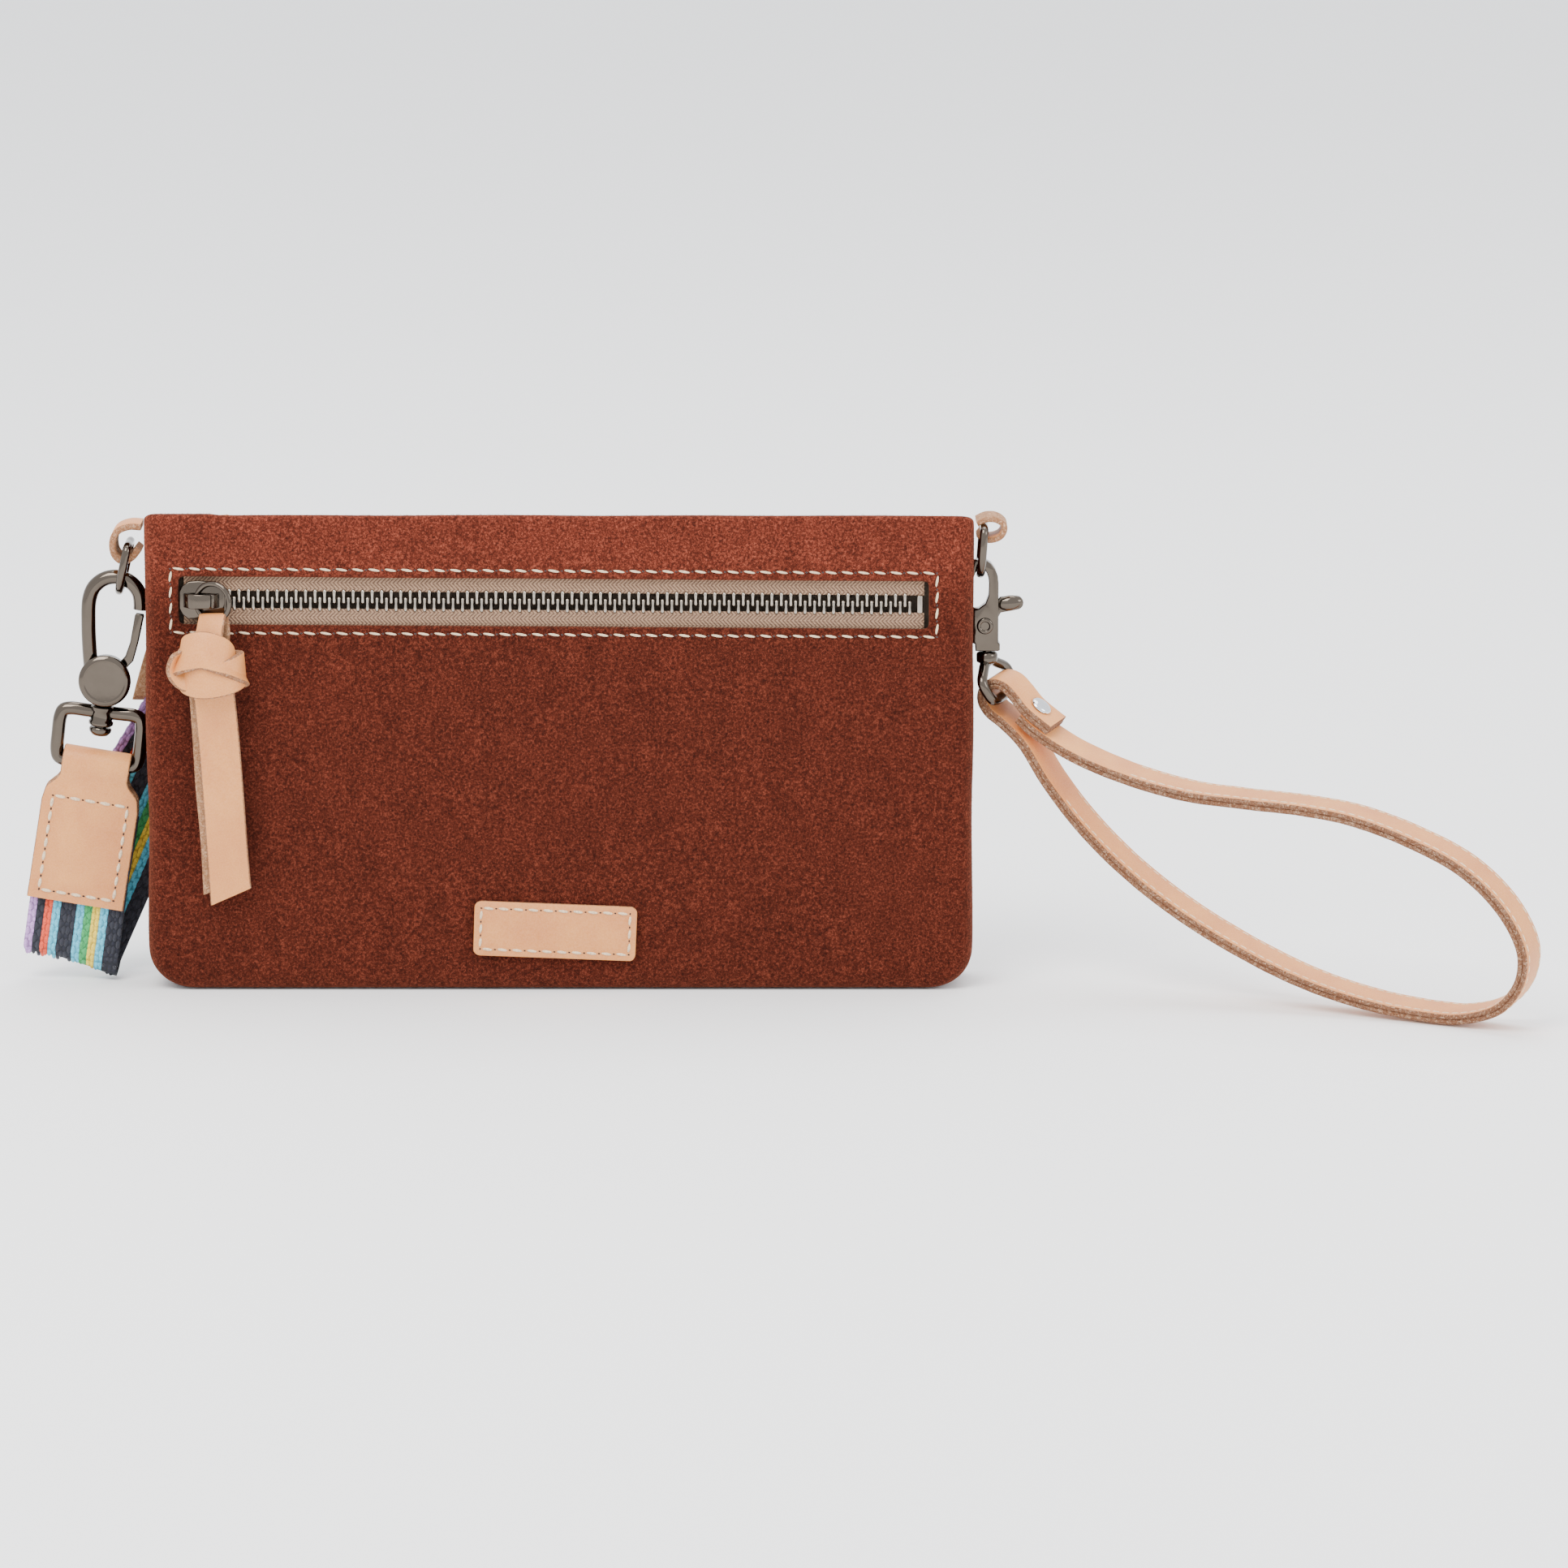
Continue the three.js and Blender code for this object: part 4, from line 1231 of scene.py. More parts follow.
    def _press(self, shape: Sculpt, top: float) -> None:
        """Press the back panel's mouth down under the top zip's pull."""
        x0, x1, drop = self.notch
        for p in shape.points:
            if p.z > top - 16:
                side = 1 / (1 + math.exp(-(p.x - x0 + 1.5) / 0.9)) * 1 / (1 + math.exp((p.x - x1 - 1.5) / 0.9))
                p.z -= (drop + 0.5) * side * min(1.0, (p.z - top + 16) / 12)

    def build(self, shop: Workshop) -> None:
        """Make both panels and the window's stitching.

        Args:
            shop: The workshop.
        """
        for front, node in ((True, "front_panel"), (False, "back_panel")):
            piece = shop.make(f"suede_{node}", self.panel(front), [Finish.SUEDE], "suede", node)
            thick = piece.modifiers.new("thickness", "SOLIDIFY")
            thick.thickness = self.skin * MM
            thick.offset = -1
            soft = piece.modifiers.new("soft", "SUBSURF")
            soft.levels = 1
            soft.render_levels = 1
        self.fuzz(shop)
        wx0, wx1, wz, half = self.window
        out = 2.4
        corners = [(wx0 - out, wz + half + out), (wx1 + out, wz + half + out), (wx1 + out, wz - half - out),
                   (wx0 - out, wz - half - out), (wx0 - out, wz + half + out)]
        line = []
        for (xa, za), (xb, zb) in zip(corners[:-1], corners[1:]):
            count = max(3, round(math.hypot(xb - xa, zb - za) / 4.7))
            line += [(xa + (xb - xa) * k / count, za + (zb - za) * k / count) for k in range(count)]
        line.append(corners[0])
        path = []
        for x, z in line:
            p = Vector((x, -self.depth(z), z))
            p += self.relief(p, -1.0)
            p.z += self.shear(p)
            path.append(p + Vector((0, -0.12, 0)))
        thread = Sculpt().stitches(path, (0, -1, 0), 4.7, 0.36, 0.16, 0.74)
        shop.make("window_stitching", thread, [Finish.THREAD, Finish.HOLE_SHADE], "leather", body="root")


    def fuzz(self, shop: Workshop) -> None:
        """Raise loose fibres along the front's mouth and sides.

        Args:
            shop: The workshop.
        """
        hairs = Sculpt()
        draw = random.Random(11)
        spots: list[tuple[Vector, Vector]] = []
        for _ in range(1100):
            x = draw.uniform(-self.half_width + 5, self.half_width - 5)
            p = Vector((x, -self.depth(self.front_top) + self.roll * draw.uniform(0.5, 1.5),
                        self.front_top - 0.1))
            p.z += self.relief(Vector((x, p.y, self.front_top - self.roll)), -1.0).z
            spots.append((p, Vector((draw.uniform(-0.9, 0.9), draw.uniform(-0.5, 0.3), 1))))
        for _ in range(700):
            z = draw.uniform(14, self.front_top - 6)
            side = draw.choice((-1.0, 1.0))
            p = Vector((side * (self.half_width - 0.15),
                        -self.depth(z) + self.corner + draw.uniform(-0.8, 0.2), z))
            p.x += self.relief(p, -1.0).x
            spots.append((p, Vector((side, draw.uniform(-0.6, 0.2), draw.uniform(-0.8, 0.8)))))
        for p, out in spots:
            tip = p + out.normalized() * draw.uniform(0.15, 0.6)
            first = len(hairs.points)
            side = out.orthogonal().normalized() * 0.05
            hairs.points += [p + side, p - side, p + side.cross(out.normalized()), tip]
            for corners in ((0, 1, 3), (1, 2, 3), (2, 0, 3), (0, 2, 1)):
                hairs.face([first + c for c in corners])
        shop.make("suede_fibres", hairs, [Finish.SUEDE], "suede", body="root")


@dataclass
class Pouches:
    """Cloth linings inside the bag."""

    wall: float = 0.5
    step: float = 6.0

    def pouch(self, half_x: float, levels: Sequence[tuple[float, float, float]], front_top: float,
              seed: float) -> Sculpt:
        """Sculpt a pouch as a sheet.

        Args:
            half_x: Half its width.
            levels: Height, front Y and back Y.
            front_top: Where its front wall ends.
            seed: Which wrinkles.

        Returns:
            The sheet.
        """
        shape = Sculpt()
        count = round(2 * half_x / self.step)
        xs = [float(x) for x in np.linspace(-half_x, half_x, count + 1)]
        heights = [row[0] for row in levels]
        zs = np.linspace(heights[0], heights[-1], 22)
        for side in (1, 2):
            ys = [row[side] for row in levels]
            for z in zs:
                level = min(float(z), front_top) if side == 1 else float(z)
                for x in xs:
                    pull = max(0.0, 1 - (half_x - abs(x)) / 5)
                    middle = (float(np.interp(z, heights, [r[1] for r in levels])) + float(
                        np.interp(z, heights, [r[2] for r in levels]))) / 2
                    y = float(np.interp(level, heights, ys)) + 0.25 * wobble(x, z, 18, seed + side)
                    shape.points.append(Vector((x, y + (middle - y) * pull, level)))
        wide = len(xs)
        half = wide * len(zs)
        for i in range(len(zs) - 1):
            for k in range(wide - 1):
                a = i * wide + k
                if zs[i] < front_top:
                    shape.face((a, a + 1, a + 1 + wide, a + wide))
                shape.face((half + a, half + a + wide, half + a + 1 + wide, half + a + 1))
            for k in (0, wide - 1):
                a = i * wide + k
                shape.face((a, a + wide, half + a + wide, half + a))
        for k in range(wide - 1):
            shape.face((k, half + k, half + k + 1, k + 1))
        return shape

    def build(self, shop: Workshop) -> None:
        """Make the linings.

        Args:
            shop: The workshop.
        """
        rows = (
            ("main_lining", 110.9, ((8.4, -4.4, 10.0), (20, -4.4, 10.6), (80, -2.2, 9.3), (123, -0.7, 7.8)),
             123.0),
            ("front_pocket_lining", 110.5, ((16.5, -10.5, -5.5), (123, -6.5, -1.5)), 103.0),
            ("slip_pocket", 57.5, ((32.5, 9.2, 9.9), (98, 7.6, 8.2)), 98.0),
        )
        for seed, (node, half_x, levels, front_top) in enumerate(rows):
            shape = self.pouch(half_x, levels, front_top, seed * 3.0)
            piece = shop.make(f"cloth_{node}", shape, [Finish.LINING], "lining", node)
            thick = piece.modifiers.new("thickness", "SOLIDIFY")
            thick.thickness = self.wall * MM
            thick.offset = 0


# ---------------------------------------------------------------- leather trim
@dataclass
class Strip:
    """A strip of leather with grain, flesh and cut edges."""

    width: float
    thick: float
    path: Sequence[Point]
    across: Sequence[Point] | Point
    count: int = 60
    flip: bool = False

    def sculpt(self, into: Sculpt | None = None) -> Sculpt:
        """Sculpt the strip.

        Args:
            into: A piece to add it to.

        Returns:
            The piece.
        """
        shape = into or Sculpt()
        path = spline(self.path, self.count)
        if isinstance(self.across[0], (tuple, list)):
            turn: list[Vector] | Vector = spline(self.across, self.count)
        else:
            turn = Vector(self.across)
        section, sides = strip_section(self.width, self.thick, self.flip)
        return shape.sweep(path, turn, section, False, sides)


LEATHERS = [Finish.LEATHER, Finish.LEATHER_EDGE, Finish.LEATHER_FLESH]


@dataclass
class Label:
    """Plain stitched patch low on the front."""

    centre: tuple[float, float, float] = (-1.6, -13.25, 17.8)
    half: tuple[float, float] = (23.65, 8.1)
    thick: float = 1.5
    turn: float = 2.3
    inset: float = 2.0

    def build(self, shop: Workshop) -> None:
        """Make the patch and its stitching.

        Args:
            shop: The workshop.
        """
        place = Place(Vector(self.centre), Matrix.Rotation(math.radians(self.turn), 3, "Y"))
        outline = [(x + 0.12 * wobble(x, z, 2.0, 4), z + 0.12 * wobble(z, x, 2.0, 6))
                   for x, z in rounded_box(*self.half, 2.0, 7)]
        shape = Sculpt().slab(outline, -self.thick, 0, 0.35)
        for k, corners in enumerate(shape.faces):
            ys = [shape.points[c].y for c in corners]
            if max(ys) - min(ys) > 0.5:
                shape.tones[k] = 1
        shop.make("patch", shape, LEATHERS, "leather", "label_patch", place=place)
        x, z = self.half[0] - self.inset, self.half[1] - self.inset
        line = [(-x, -self.thick, z), (x, -self.thick, z), (x, -self.thick, -z), (-x, -self.thick, -z),
                (-x, -self.thick, z)]
        thread = Sculpt().stitches(line, (0, -1, 0), 4.5, 0.42, 0.1, 0.7)
        shop.make("patch_stitching", thread, [Finish.THREAD, Finish.HOLE_SHADE], "leather", body="root",
                  place=place)


@dataclass
class SideTab:
    """Leather loop that holds a D-ring at one end of the mouth."""

    name: str
    loop: tuple[tuple[float, float], ...]
    width: float = 10.4
    thick: float = 2.0

    def build(self, shop: Workshop) -> None:
        """Make the loop.

        Args:
            shop: The workshop.
        """
        path = [(x, 0, z) for x, z in self.loop]
        shape = Strip(self.width, self.thick, path, (0, 1, 0), 56).sculpt()
        shop.make(f"loop_{self.name}", shape, LEATHERS, "leather", self.name)


@dataclass
class FrontKnot:
    """Knotted leather pull of the front zip."""

    thick: float = 1.9

    def build(self, shop: Workshop) -> None:
        """Make the pull.

        Args:
            shop: The workshop.
        """
        t = self.thick
        shape = Sculpt()
        shape.bead((-1.4, -2.6, -11.2), (1, 0, 0), (0, 0, 1), (7.6, 3.6, 7.6), 2, 20)
        throat = [(-1.6, -5.4, -9.5), (-1.0, -4.2, -4.5), (-0.4, -2.3, -0.6), (0.1, -0.5, 1.45),
                  (0.5, 1.35, 0.1),
                  (0.8, 1.1, -3.2), (0.4, 0.6, -8.0)]
        shape = Strip(8.6, 1.3, throat, [(0.95, -0.2, 0.25)] * 3 + [(0.9, -0.42, 0.1)] + [(0.95, -0.3,
            -0.1)] * 3, 36).sculpt(shape)
        dome = [(-7.6, -0.2, -13.2), (-9.3, -3.4, -11.0), (-7.4, -6.4, -8.6), (-2.4, -8.1, -7.2),
                (3.2, -7.4, -9.2),
                (6.8, -4.2, -12.6), (7.4, -0.6, -14.5)]
        tilt = [(0.45, 0.35, 0.8), (0.4, 0.3, 0.85), (0.25, 0.32, 0.9), (0.05, 0.34, 0.93), (-0.3, 0.3, 0.9),
                (-0.45, 0.2, 0.85), (-0.45, 0.1, 0.85)]
        shape = Strip(11.0, t, dome, tilt, 56, True).sculpt(shape)
        curl = [(-4.6, -1.8, -9.6), (-7.6, -2.6, -8.8), (-10.2, -4.6, -10.6), (-10.6, -5.6, -13.6),
                (-8.2, -6.2, -16.2),
                (-5.2, -6.6, -16.8)]
        lean = [(0.3, 0.8, 0.5), (0.1, 0.9, 0.4), (0.3, 0.9, 0.1), (0.5, 0.85, 0.1), (0.3, 0.5, 0.8),
                (0.1, 0.2, 0.95)]
        shape = Strip(6.2, t * 0.9, curl, lean, 36, True).sculpt(shape)
        collar = [(-7.9, -2.2, -13.4), (-7.3, -6.2, -15.2), (-3.4, -8.9, -16.2), (1.6, -9.1, -15.8),
                  (5.8, -8.0, -14.6),
                  (8.0, -5.0, -13.6), (8.2, -1.4, -13.4), (5.6, 0.6, -13.6)]
        around = [(0.2, -0.1, 1), (0.12, 0.06, 1), (0.05, 0.16, 1), (-0.03, 0.16, 1), (-0.08, 0.1, 1),
                  (-0.06, 0.0, 1),
                  (0, 0, 1), (0, 0, 1)]
        shape = Strip(9.8, t, collar, around, 64, True).sculpt(shape)
        front = [(-0.2, -6.2, -15), (0.4, -4.6, -21), (1.2, -4.2, -30), (2.4, -4.0, -48), (3.4, -3.8, -66),
                 (4.3, -3.9, -80.6)]
        shape = self.tail(shape, front, (1, 0, -0.06), 11.8, 4.6, True)
        behind = [(-1.6, -3.0, -15), (-1.2, -1.9, -21), (-0.6, -1.7, -30), (0.2, -1.5, -48), (1.4, -1.5, -64),
                  (2.0, -1.3, -78.2)]
        shape = self.tail(shape, behind, (1, 0.1, -0.04), 11.8, 4.2, False)
        shop.make("front_knot", shape, LEATHERS, "leather", "front_pull",
                  place=Place(shop.joint("front_pull_swing")))

    def tail(self, shape: Sculpt, path: Sequence[Point], across: Point, width: float, slant: float,
             flip: bool = False) -> Sculpt:
        """Add a hanging end, cut at a slant.

        Args:
            shape: The piece so far.
            path: Its middle line.
            across: Its width's direction.
            width: Its width.
            slant: How much longer its left edge is.
            flip: Whether the grain faces the front.

        Returns:
            The piece.
        """
        first = len(shape.points)
        Strip(width, 2.0, path, across, 60, flip).sculpt(shape)
        end = Vector(path[-1])
        for p in shape.points[first:]:
            near = max(0.0, 1 - (p - end).length / 16)
            if p.z < end.z + 12:
                p.z += slant * (p.x - end.x) / width * min(1.0, (end.z + 12 - p.z) / 12)
            p.y += 0.25 * wobble(p.x, p.z, 14, 2) + 0.1 * near
        return shape


@dataclass
class TopKnot:
    """Knotted leather pull of the top zip, hanging behind the bag."""

    thick: float = 1.7

    def build(self, shop: Workshop) -> None:
        """Make the pull.

        Args:
            shop: The workshop.
        """
        t = self.thick
        shape = Sculpt()
        shape.bead((-7, 11.6, -16), (1, 0, 0), (0, 0, 1), (7.8, 3.6, 7.6), 2, 20)
        bridge = [(-0.3, 0.7, -1.9), (-0.2, -0.8, -1.75), (0, -1.75, 0), (0.1, -0.2, 2.0), (0, 2.6, 2.8),
                  (-0.6, 5.9, 2.0),
                  (-2.4, 9.4, -2.4), (-4.6, 11.4, -8.4), (-6, 12.2, -13)]
        shape = Strip(7.0, 1.2, bridge, (0.99, 0, 0.08), 60).sculpt(shape)
        dome = [(-13.6, 9.4, -18.6), (-15.2, 12.4, -15.4), (-11.8, 16.0, -12.2), (-6.6, 17.2, -11.2),
                (-1.4, 15.8, -13.4),
                (1.2, 12.0, -16.6), (0.6, 9.2, -18.4)]
        tilt = [(0.4, -0.3, 0.85), (0.35, -0.3, 0.88), (0.2, -0.3, 0.92), (0, -0.3, 0.93), (-0.3, -0.3, 0.9),
                (-0.4, -0.1, 0.9), (-0.4, 0, 0.9)]
        shape = Strip(10.6, t, dome, tilt, 50).sculpt(shape)
        collar = [(-13.8, 9.6, -19), (-13.4, 13.6, -20.2), (-9.4, 16.6, -21), (-4.4, 16.8, -20.6),
                  (0, 14.6, -19.2),
                  (1.6, 11.2, -18.6), (-0.6, 8.4, -18.8)]
        shape = Strip(9.0, t, collar, (0.05, -0.1, 1), 50).sculpt(shape)
        lean = math.radians(18)
        for y, far, slant in ((9.3, 30.0, 4.0), (11.3, 31.5, 4.0)):
            start = Vector((-10.2, y, -20))
            path = [start + Vector((-math.sin(lean) * s, 0.6 * math.sin(s / 9),
                                    -math.cos(lean) * s)) for s in np.linspace(0, far + 3, 5)]
            path = [tuple(p) for p in path]
            shape = FrontKnot().tail(shape, path, (math.cos(lean), 0, -math.sin(lean)), 11.6, slant)
        shop.make("top_knot", shape, LEATHERS, "leather", "top_pull",
                  place=Place(shop.joint("top_pull_swing")))


# ---------------------------------------------------------------- zips
@dataclass
class Zip:
    """One metal zip with its slider and ring."""

    prefix: str
    at: tuple[float, float, float]
    turn: Matrix
    halves: tuple[tuple[int, str], ...]
    reach: float
    pitch: float = 2.75
    teeth: int = 75
    start: float = -103.4
    length: float = 107.0
    slider_start: float = -108.1

    def build(self, shop: Workshop) -> None:
        """Make tapes, teeth, stops, slider and ring.

        Args:
            shop: The workshop.
        """
        place = Place(Vector(self.at), self.turn)
        for side, half in self.halves:
            for end in (-1, 1):
                for kind, shape, kinds, slot in (
                    ("tape", self.tape(side, end), [Finish.TAPE], "zip_tape"),
                    ("teeth", self.row(side, end), [Finish.NICKEL], "zip_metal"),
                ):
                    node = f"{self.prefix}_zip_{half}_{kind}"
                    name = f"{node}_{'left' if end < 0 else 'right'}"
                    piece = shop.make(name, shape, kinds, slot, node, place=place, ride=False)
                    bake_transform(piece)
            stop = Sculpt().slab(rounded_box(0.6, 1.05, 0.3), -1.15, 1.15, 0.25)
            spot = Place(place.at + place.turn @ Vector((-104.35, 0, side * 2.0)), self.turn)
            node = f"{self.prefix}_zip_{half}_top_stop"
            shop.make(f"stop_{node}", stop, [Finish.NICKEL], "zip_metal", node, place=spot)
        spot = Place(place.at + place.turn @ Vector((105.8, 0, 0)), self.turn)
        node = f"{self.prefix}_zip_bottom_stop"
        shop.make(f"stop_{node}", Sculpt().slab(rounded_box(0.8, 2.6, 0.4), -1.3, 1.3, 0.35), [Finish.NICKEL],
                  "zip_metal", node, place=spot)
        self.slider(shop, place)

    def tape(self, side: int, end: int) -> Sculpt:
        """Sculpt half of one tape.

        Args:
            side: 1 or -1 across the zip.
            end: -1 for its left half, 1 for its right half.

        Returns:
            The tape.
        """
        shape = Sculpt()
        xs = np.linspace(0, end * self.length, 60)
        zs = [2.6, 3.0, 3.5, 4.2, 5.2, 6.6, 8.2, 10, 11.6, 13.4]
        zs = [z for z in zs if z < self.reach] + [self.reach]
        for low in (0, 1):
            for x in xs:
                for z in zs:
                    cord = 0.42 * math.exp(-((z - 3.2) / 0.5) ** 2)
                    y = 0.3 + cord if low else -0.3 - cord
                    shape.cloth[len(shape.points)] = (z, float(x))
                    shape.points.append(Vector((float(x), y + 0.06 * wobble(x, z, 7, 1), side * z)))
        wide, half = len(zs), len(zs) * len(xs)
        for i in range(len(xs) - 1):
            for k in range(wide - 1):
                a = i * wide + k
                shape.face((a, a + 1, a + 1 + wide, a + wide))
                shape.face((half + a, half + a + wide, half + a + 1 + wide, half + a + 1))
            for k in (0, wide - 1):
                a = i * wide + k
                shape.face((a, a + wide, half + a + wide, half + a))
        for i in (0, len(xs) - 1):
            for k in range(wide - 1):
                a = i * wide + k
                shape.face((a, half + a, half + a + 1, a + 1))
        return shape

    def row(self, side: int, end: int) -> Sculpt:
        """Sculpt half of one row of teeth.

        Args:
            side: 1 or -1 across the zip.
            end: -1 for its left half, 1 for its right half.

        Returns:
            The teeth.
        """
        shape = Sculpt()
        shift = 0.0 if side > 0 else self.pitch / 2
        rings = ((-0.95, 0.34, 0.55), (-0.7, 0.55, 0.85), (0.1, 0.6, 1.0), (0.9, 0.5, 0.95), (1.5, 0.62, 1.2),
                 (2.6, 0.66, 1.25),
                 (3.1, 0.5, 1.0), (3.3, 0.25, 0.7))
        for k in range(self.teeth):
            x = self.start + shift + (k + 0.5) * self.pitch
            if (x < 0) != (end < 0):
                continue
            first = len(shape.points)
            section = 12
            for z, wide, deep in rings:
                for a in np.linspace(0, 2 * math.pi, section, endpoint=False):
                    c, s = math.cos(a), math.sin(a)
                    grow = 1 / max(abs(c), abs(s)) ** 0.6
                    shape.points.append(Vector((x + wide * c * grow, deep * s * grow, side * z)))
            for i in range(len(rings) - 1):
                for j in range(section):
                    a, b = first + i * section + j, first + i * section + (j + 1) % section
                    shape.face((a, b, b + section, a + section))
            shape.face(list(range(first, first + section)))
            shape.face(list(range(first + (len(rings) - 1) * section, first + len(rings) * section)))
        return shape

    def slider(self, shop: Workshop, place: Place) -> None:
        """Make the slider and its ring.

        Args:
            shop: The workshop.
            place: The zip's place.
        """
        spot = Place(place.at + place.turn @ Vector((self.slider_start, 0, 0)), self.turn)
        half = [(0, 2.4), (0.9, 4.2), (2.6, 5.5), (5.4, 5.75), (9.6, 5.4), (12.6, 4.6), (13.5, 3.4)]
        outline = half + [(x, -z) for x, z in reversed(half)]
        shape = Sculpt().slab(outline, -2.85, -1.5, 0.55, 4).slab(outline, 1.5, 2.5, 0.4, 3)
        shape.slab([(0.6, -1.1), (2.7, -1.1), (2.7, 1.1), (0.6, 1.1)], -1.6, 1.6, 0.15, 1)
        for s in (-1, 1):
            for a, b in ((-1.7, -0.75), (0.75, 1.7)):
                shape.slab([(3.2, s * 4.4), (11.6, s * 4.2), (11.6, s * 4.8), (3.2, s * 5.1)], a, b, 0.12, 1)
        arch = [(1.5, -2.2, 0), (2.3, -3.4, 0), (4.0, -5.3, 0), (6.4, -5.75, 0), (8.8, -5.2, 0),
                (10.4, -3.6, 0), (11.2, -2.2, 0)]
        section = rounded_box(2.1, 0.6, 0.3, 4)
        shape.sweep(spline(arch, 30), Vector((0, 0, 1)), section)
        shop.make(f"{self.prefix}_slider_body", shape, [Finish.GUNMETAL], "gunmetal",
                  f"{self.prefix}_zip_slider", place=spot)
        lift = Matrix.Rotation(math.radians(-25), 3, "Z")
        ring = [tuple(lift @ Vector((5.4 + 5.4 * math.cos(a), 0, 5.4 * math.sin(a)))) for a in np.linspace(0,
            2 * math.pi, 24, endpoint=False)]
        hinge = Place(place.at + place.turn @ Vector((self.slider_start + 5.0, -3.85, 0)), self.turn)
        wire = Sculpt().tube(ring, 0.8, tuple(lift @ Vector((0, 1, 0))), 64, True)
        shop.make(f"{self.prefix}_ring_wire", wire, [Finish.GUNMETAL], "gunmetal", f"{self.prefix}_pull_ring",
                  place=hinge)


# ---------------------------------------------------------------- hardware
@dataclass
class DRing:
    """A bent wire ring with one flat side."""

    node: str
    joint: str
    lean: float
    half: float = 7.5
    depth: float = 14.0
    wire: float = 1.22

    def build(self, shop: Workshop) -> None:
        """Make the ring.

        Args:
            shop: The workshop.
        """
        right = [(0, 0), (4.4, 1.1), (6.7, 3.6), (self.half, 7), (self.half, 10.5), (6.9, 13.4),
                 (5.2, self.depth), (0, self.depth)]
        loop = right + [(-y, z) for y, z in reversed(right[1:-1])]
        points = [(0, y, z - self.depth) for y, z in loop]
        place = Place(shop.joint(self.joint), Matrix.Rotation(math.radians(self.lean), 3, "Y"))
        shop.make(f"wire_{self.node}", Sculpt().tube(points, self.wire, (1, 0, 0), 90, True),
                  [Finish.GUNMETAL], "gunmetal",
                  self.node, place=place)


@dataclass
class Hook:
    """Swivel hook with a round cap, a sprung gate and a square ring."""

    prefix: str
    place: Place
    wire: float = 2.15
    cap: float = 7.6
    ring_half: float = 11.9
    ring_bar: float = 2.0
    ring_low: float = -25.15
    ring_top: float = -9.85

    def build(self, shop: Workshop) -> None:
        """Make all parts of the hook.

        Args:
            shop: The workshop.
        """
        def make(name: str, shape: Sculpt) -> None:
            shop.make(f"{self.prefix}_{name}_metal", shape, [Finish.GUNMETAL], "gunmetal",
                      f"{self.prefix}_{name}", place=self.place)

        bow = [(-4.6, 0, 3.0), (-5.6, 0, 8.5), (-6.6, 0, 15.5), (-7.1, 0, 22.9)]
        bow += [(0.4 + 7.5 * math.cos(a), 0,
                 22.9 + 7.5 * math.sin(a)) for a in np.radians([150, 120, 90, 60, 30, 0])]
        bow += [(7.95, 0, 21.7)]
        body = Sculpt().tube(bow, self.wire, (0, 1, 0), 70)
        body.lathe([(0.01, -2.6), (6.4, -2.6), (6.9, -2.2), (7, -1.6), (7, 1.6), (6.9, 2.2), (6.4, 2.6),
                    (0.01, 2.6)], (0, 0, 0), (0, 1, 0), 56)
        make("hook_body", body)
        edge = [(0.01, 0), (self.cap - 0.2, 0), (self.cap, 0.25), (self.cap, 0.8), (self.cap - 0.25, 1.15),
                (6.3, 1.7), (6.1, 1.72),
                (5.9, 1.55), (5.6, 1.5), (0.01, 1.5)]
        make("hook_cap", Sculpt().lathe(edge, (0, -2.9, 0), (0, -1, 0), 64))
        gate = [(2.2, 1.5), (3.2, 1.0), (4.6, 2.6), (7.5, 6.4), (8.4, 12), (9.2, 19.9), (8.9, 20.5),
                (6.9, 20.5), (6.5, 19.9), (6.0, 12),
                (5.0, 7.6), (2.1, 3.4)]
        make("gate", Sculpt().slab(gate, -1.2, 1.2, 0.45))
        make("gate_spring", Sculpt().slab([(0.5, -0.6), (1.1, -0.6), (1.1, 4.4), (0.5, 4.4)], -0.6, 0.6, 0.1,
                                          1))
        pin = [(0.01, -7.3), (2.6, -7.35), (2.7, -7.6), (2.2, -7.8), (1.7, -7.85), (1.7, -14.3), (3.0, -14.4),
               (3.3, -14.8), (3.2, -15.6),
               (2.4, -16.6), (1.2, -17.0), (0.01, -17.05)]
        make("swivel_pin", Sculpt().lathe(pin, (0, 0, 0), (0, 0, 1), 32))
        w, z0, z1 = self.ring_half, self.ring_low, self.ring_top
        r, d = 2.6, 0.7
        right = [(w - r - 5, z0), (w - r, z0), (w - d, z0 + d), (w, z0 + r), (w + 0.15, (z0 + z1) / 2),
                 (w, z1 - r), (w - d, z1 - d), (w - r, z1),
                 (w - r - 5, z1)]
        loop = right + [(0, z1)] + [(-x, z) for x, z in reversed(right)] + [(0, z0)]
        ring = Sculpt().tube([(x, 0, z) for x, z in loop], self.ring_bar, (0, 1, 0), 140, True)
        barrel = [(2.05, -13.8), (3.2, -13.8), (3.6, -13.4), (3.6, -12.6), (3.2, -12.2), (3.2, -9.6),
                  (3.6, -9.2), (3.6, -8.3), (3.2, -7.95),
                  (2.05, -7.95)]
        ring.lathe(barrel, (0, 0, 0), (0, 0, 1), 32)
        make("ring", ring)


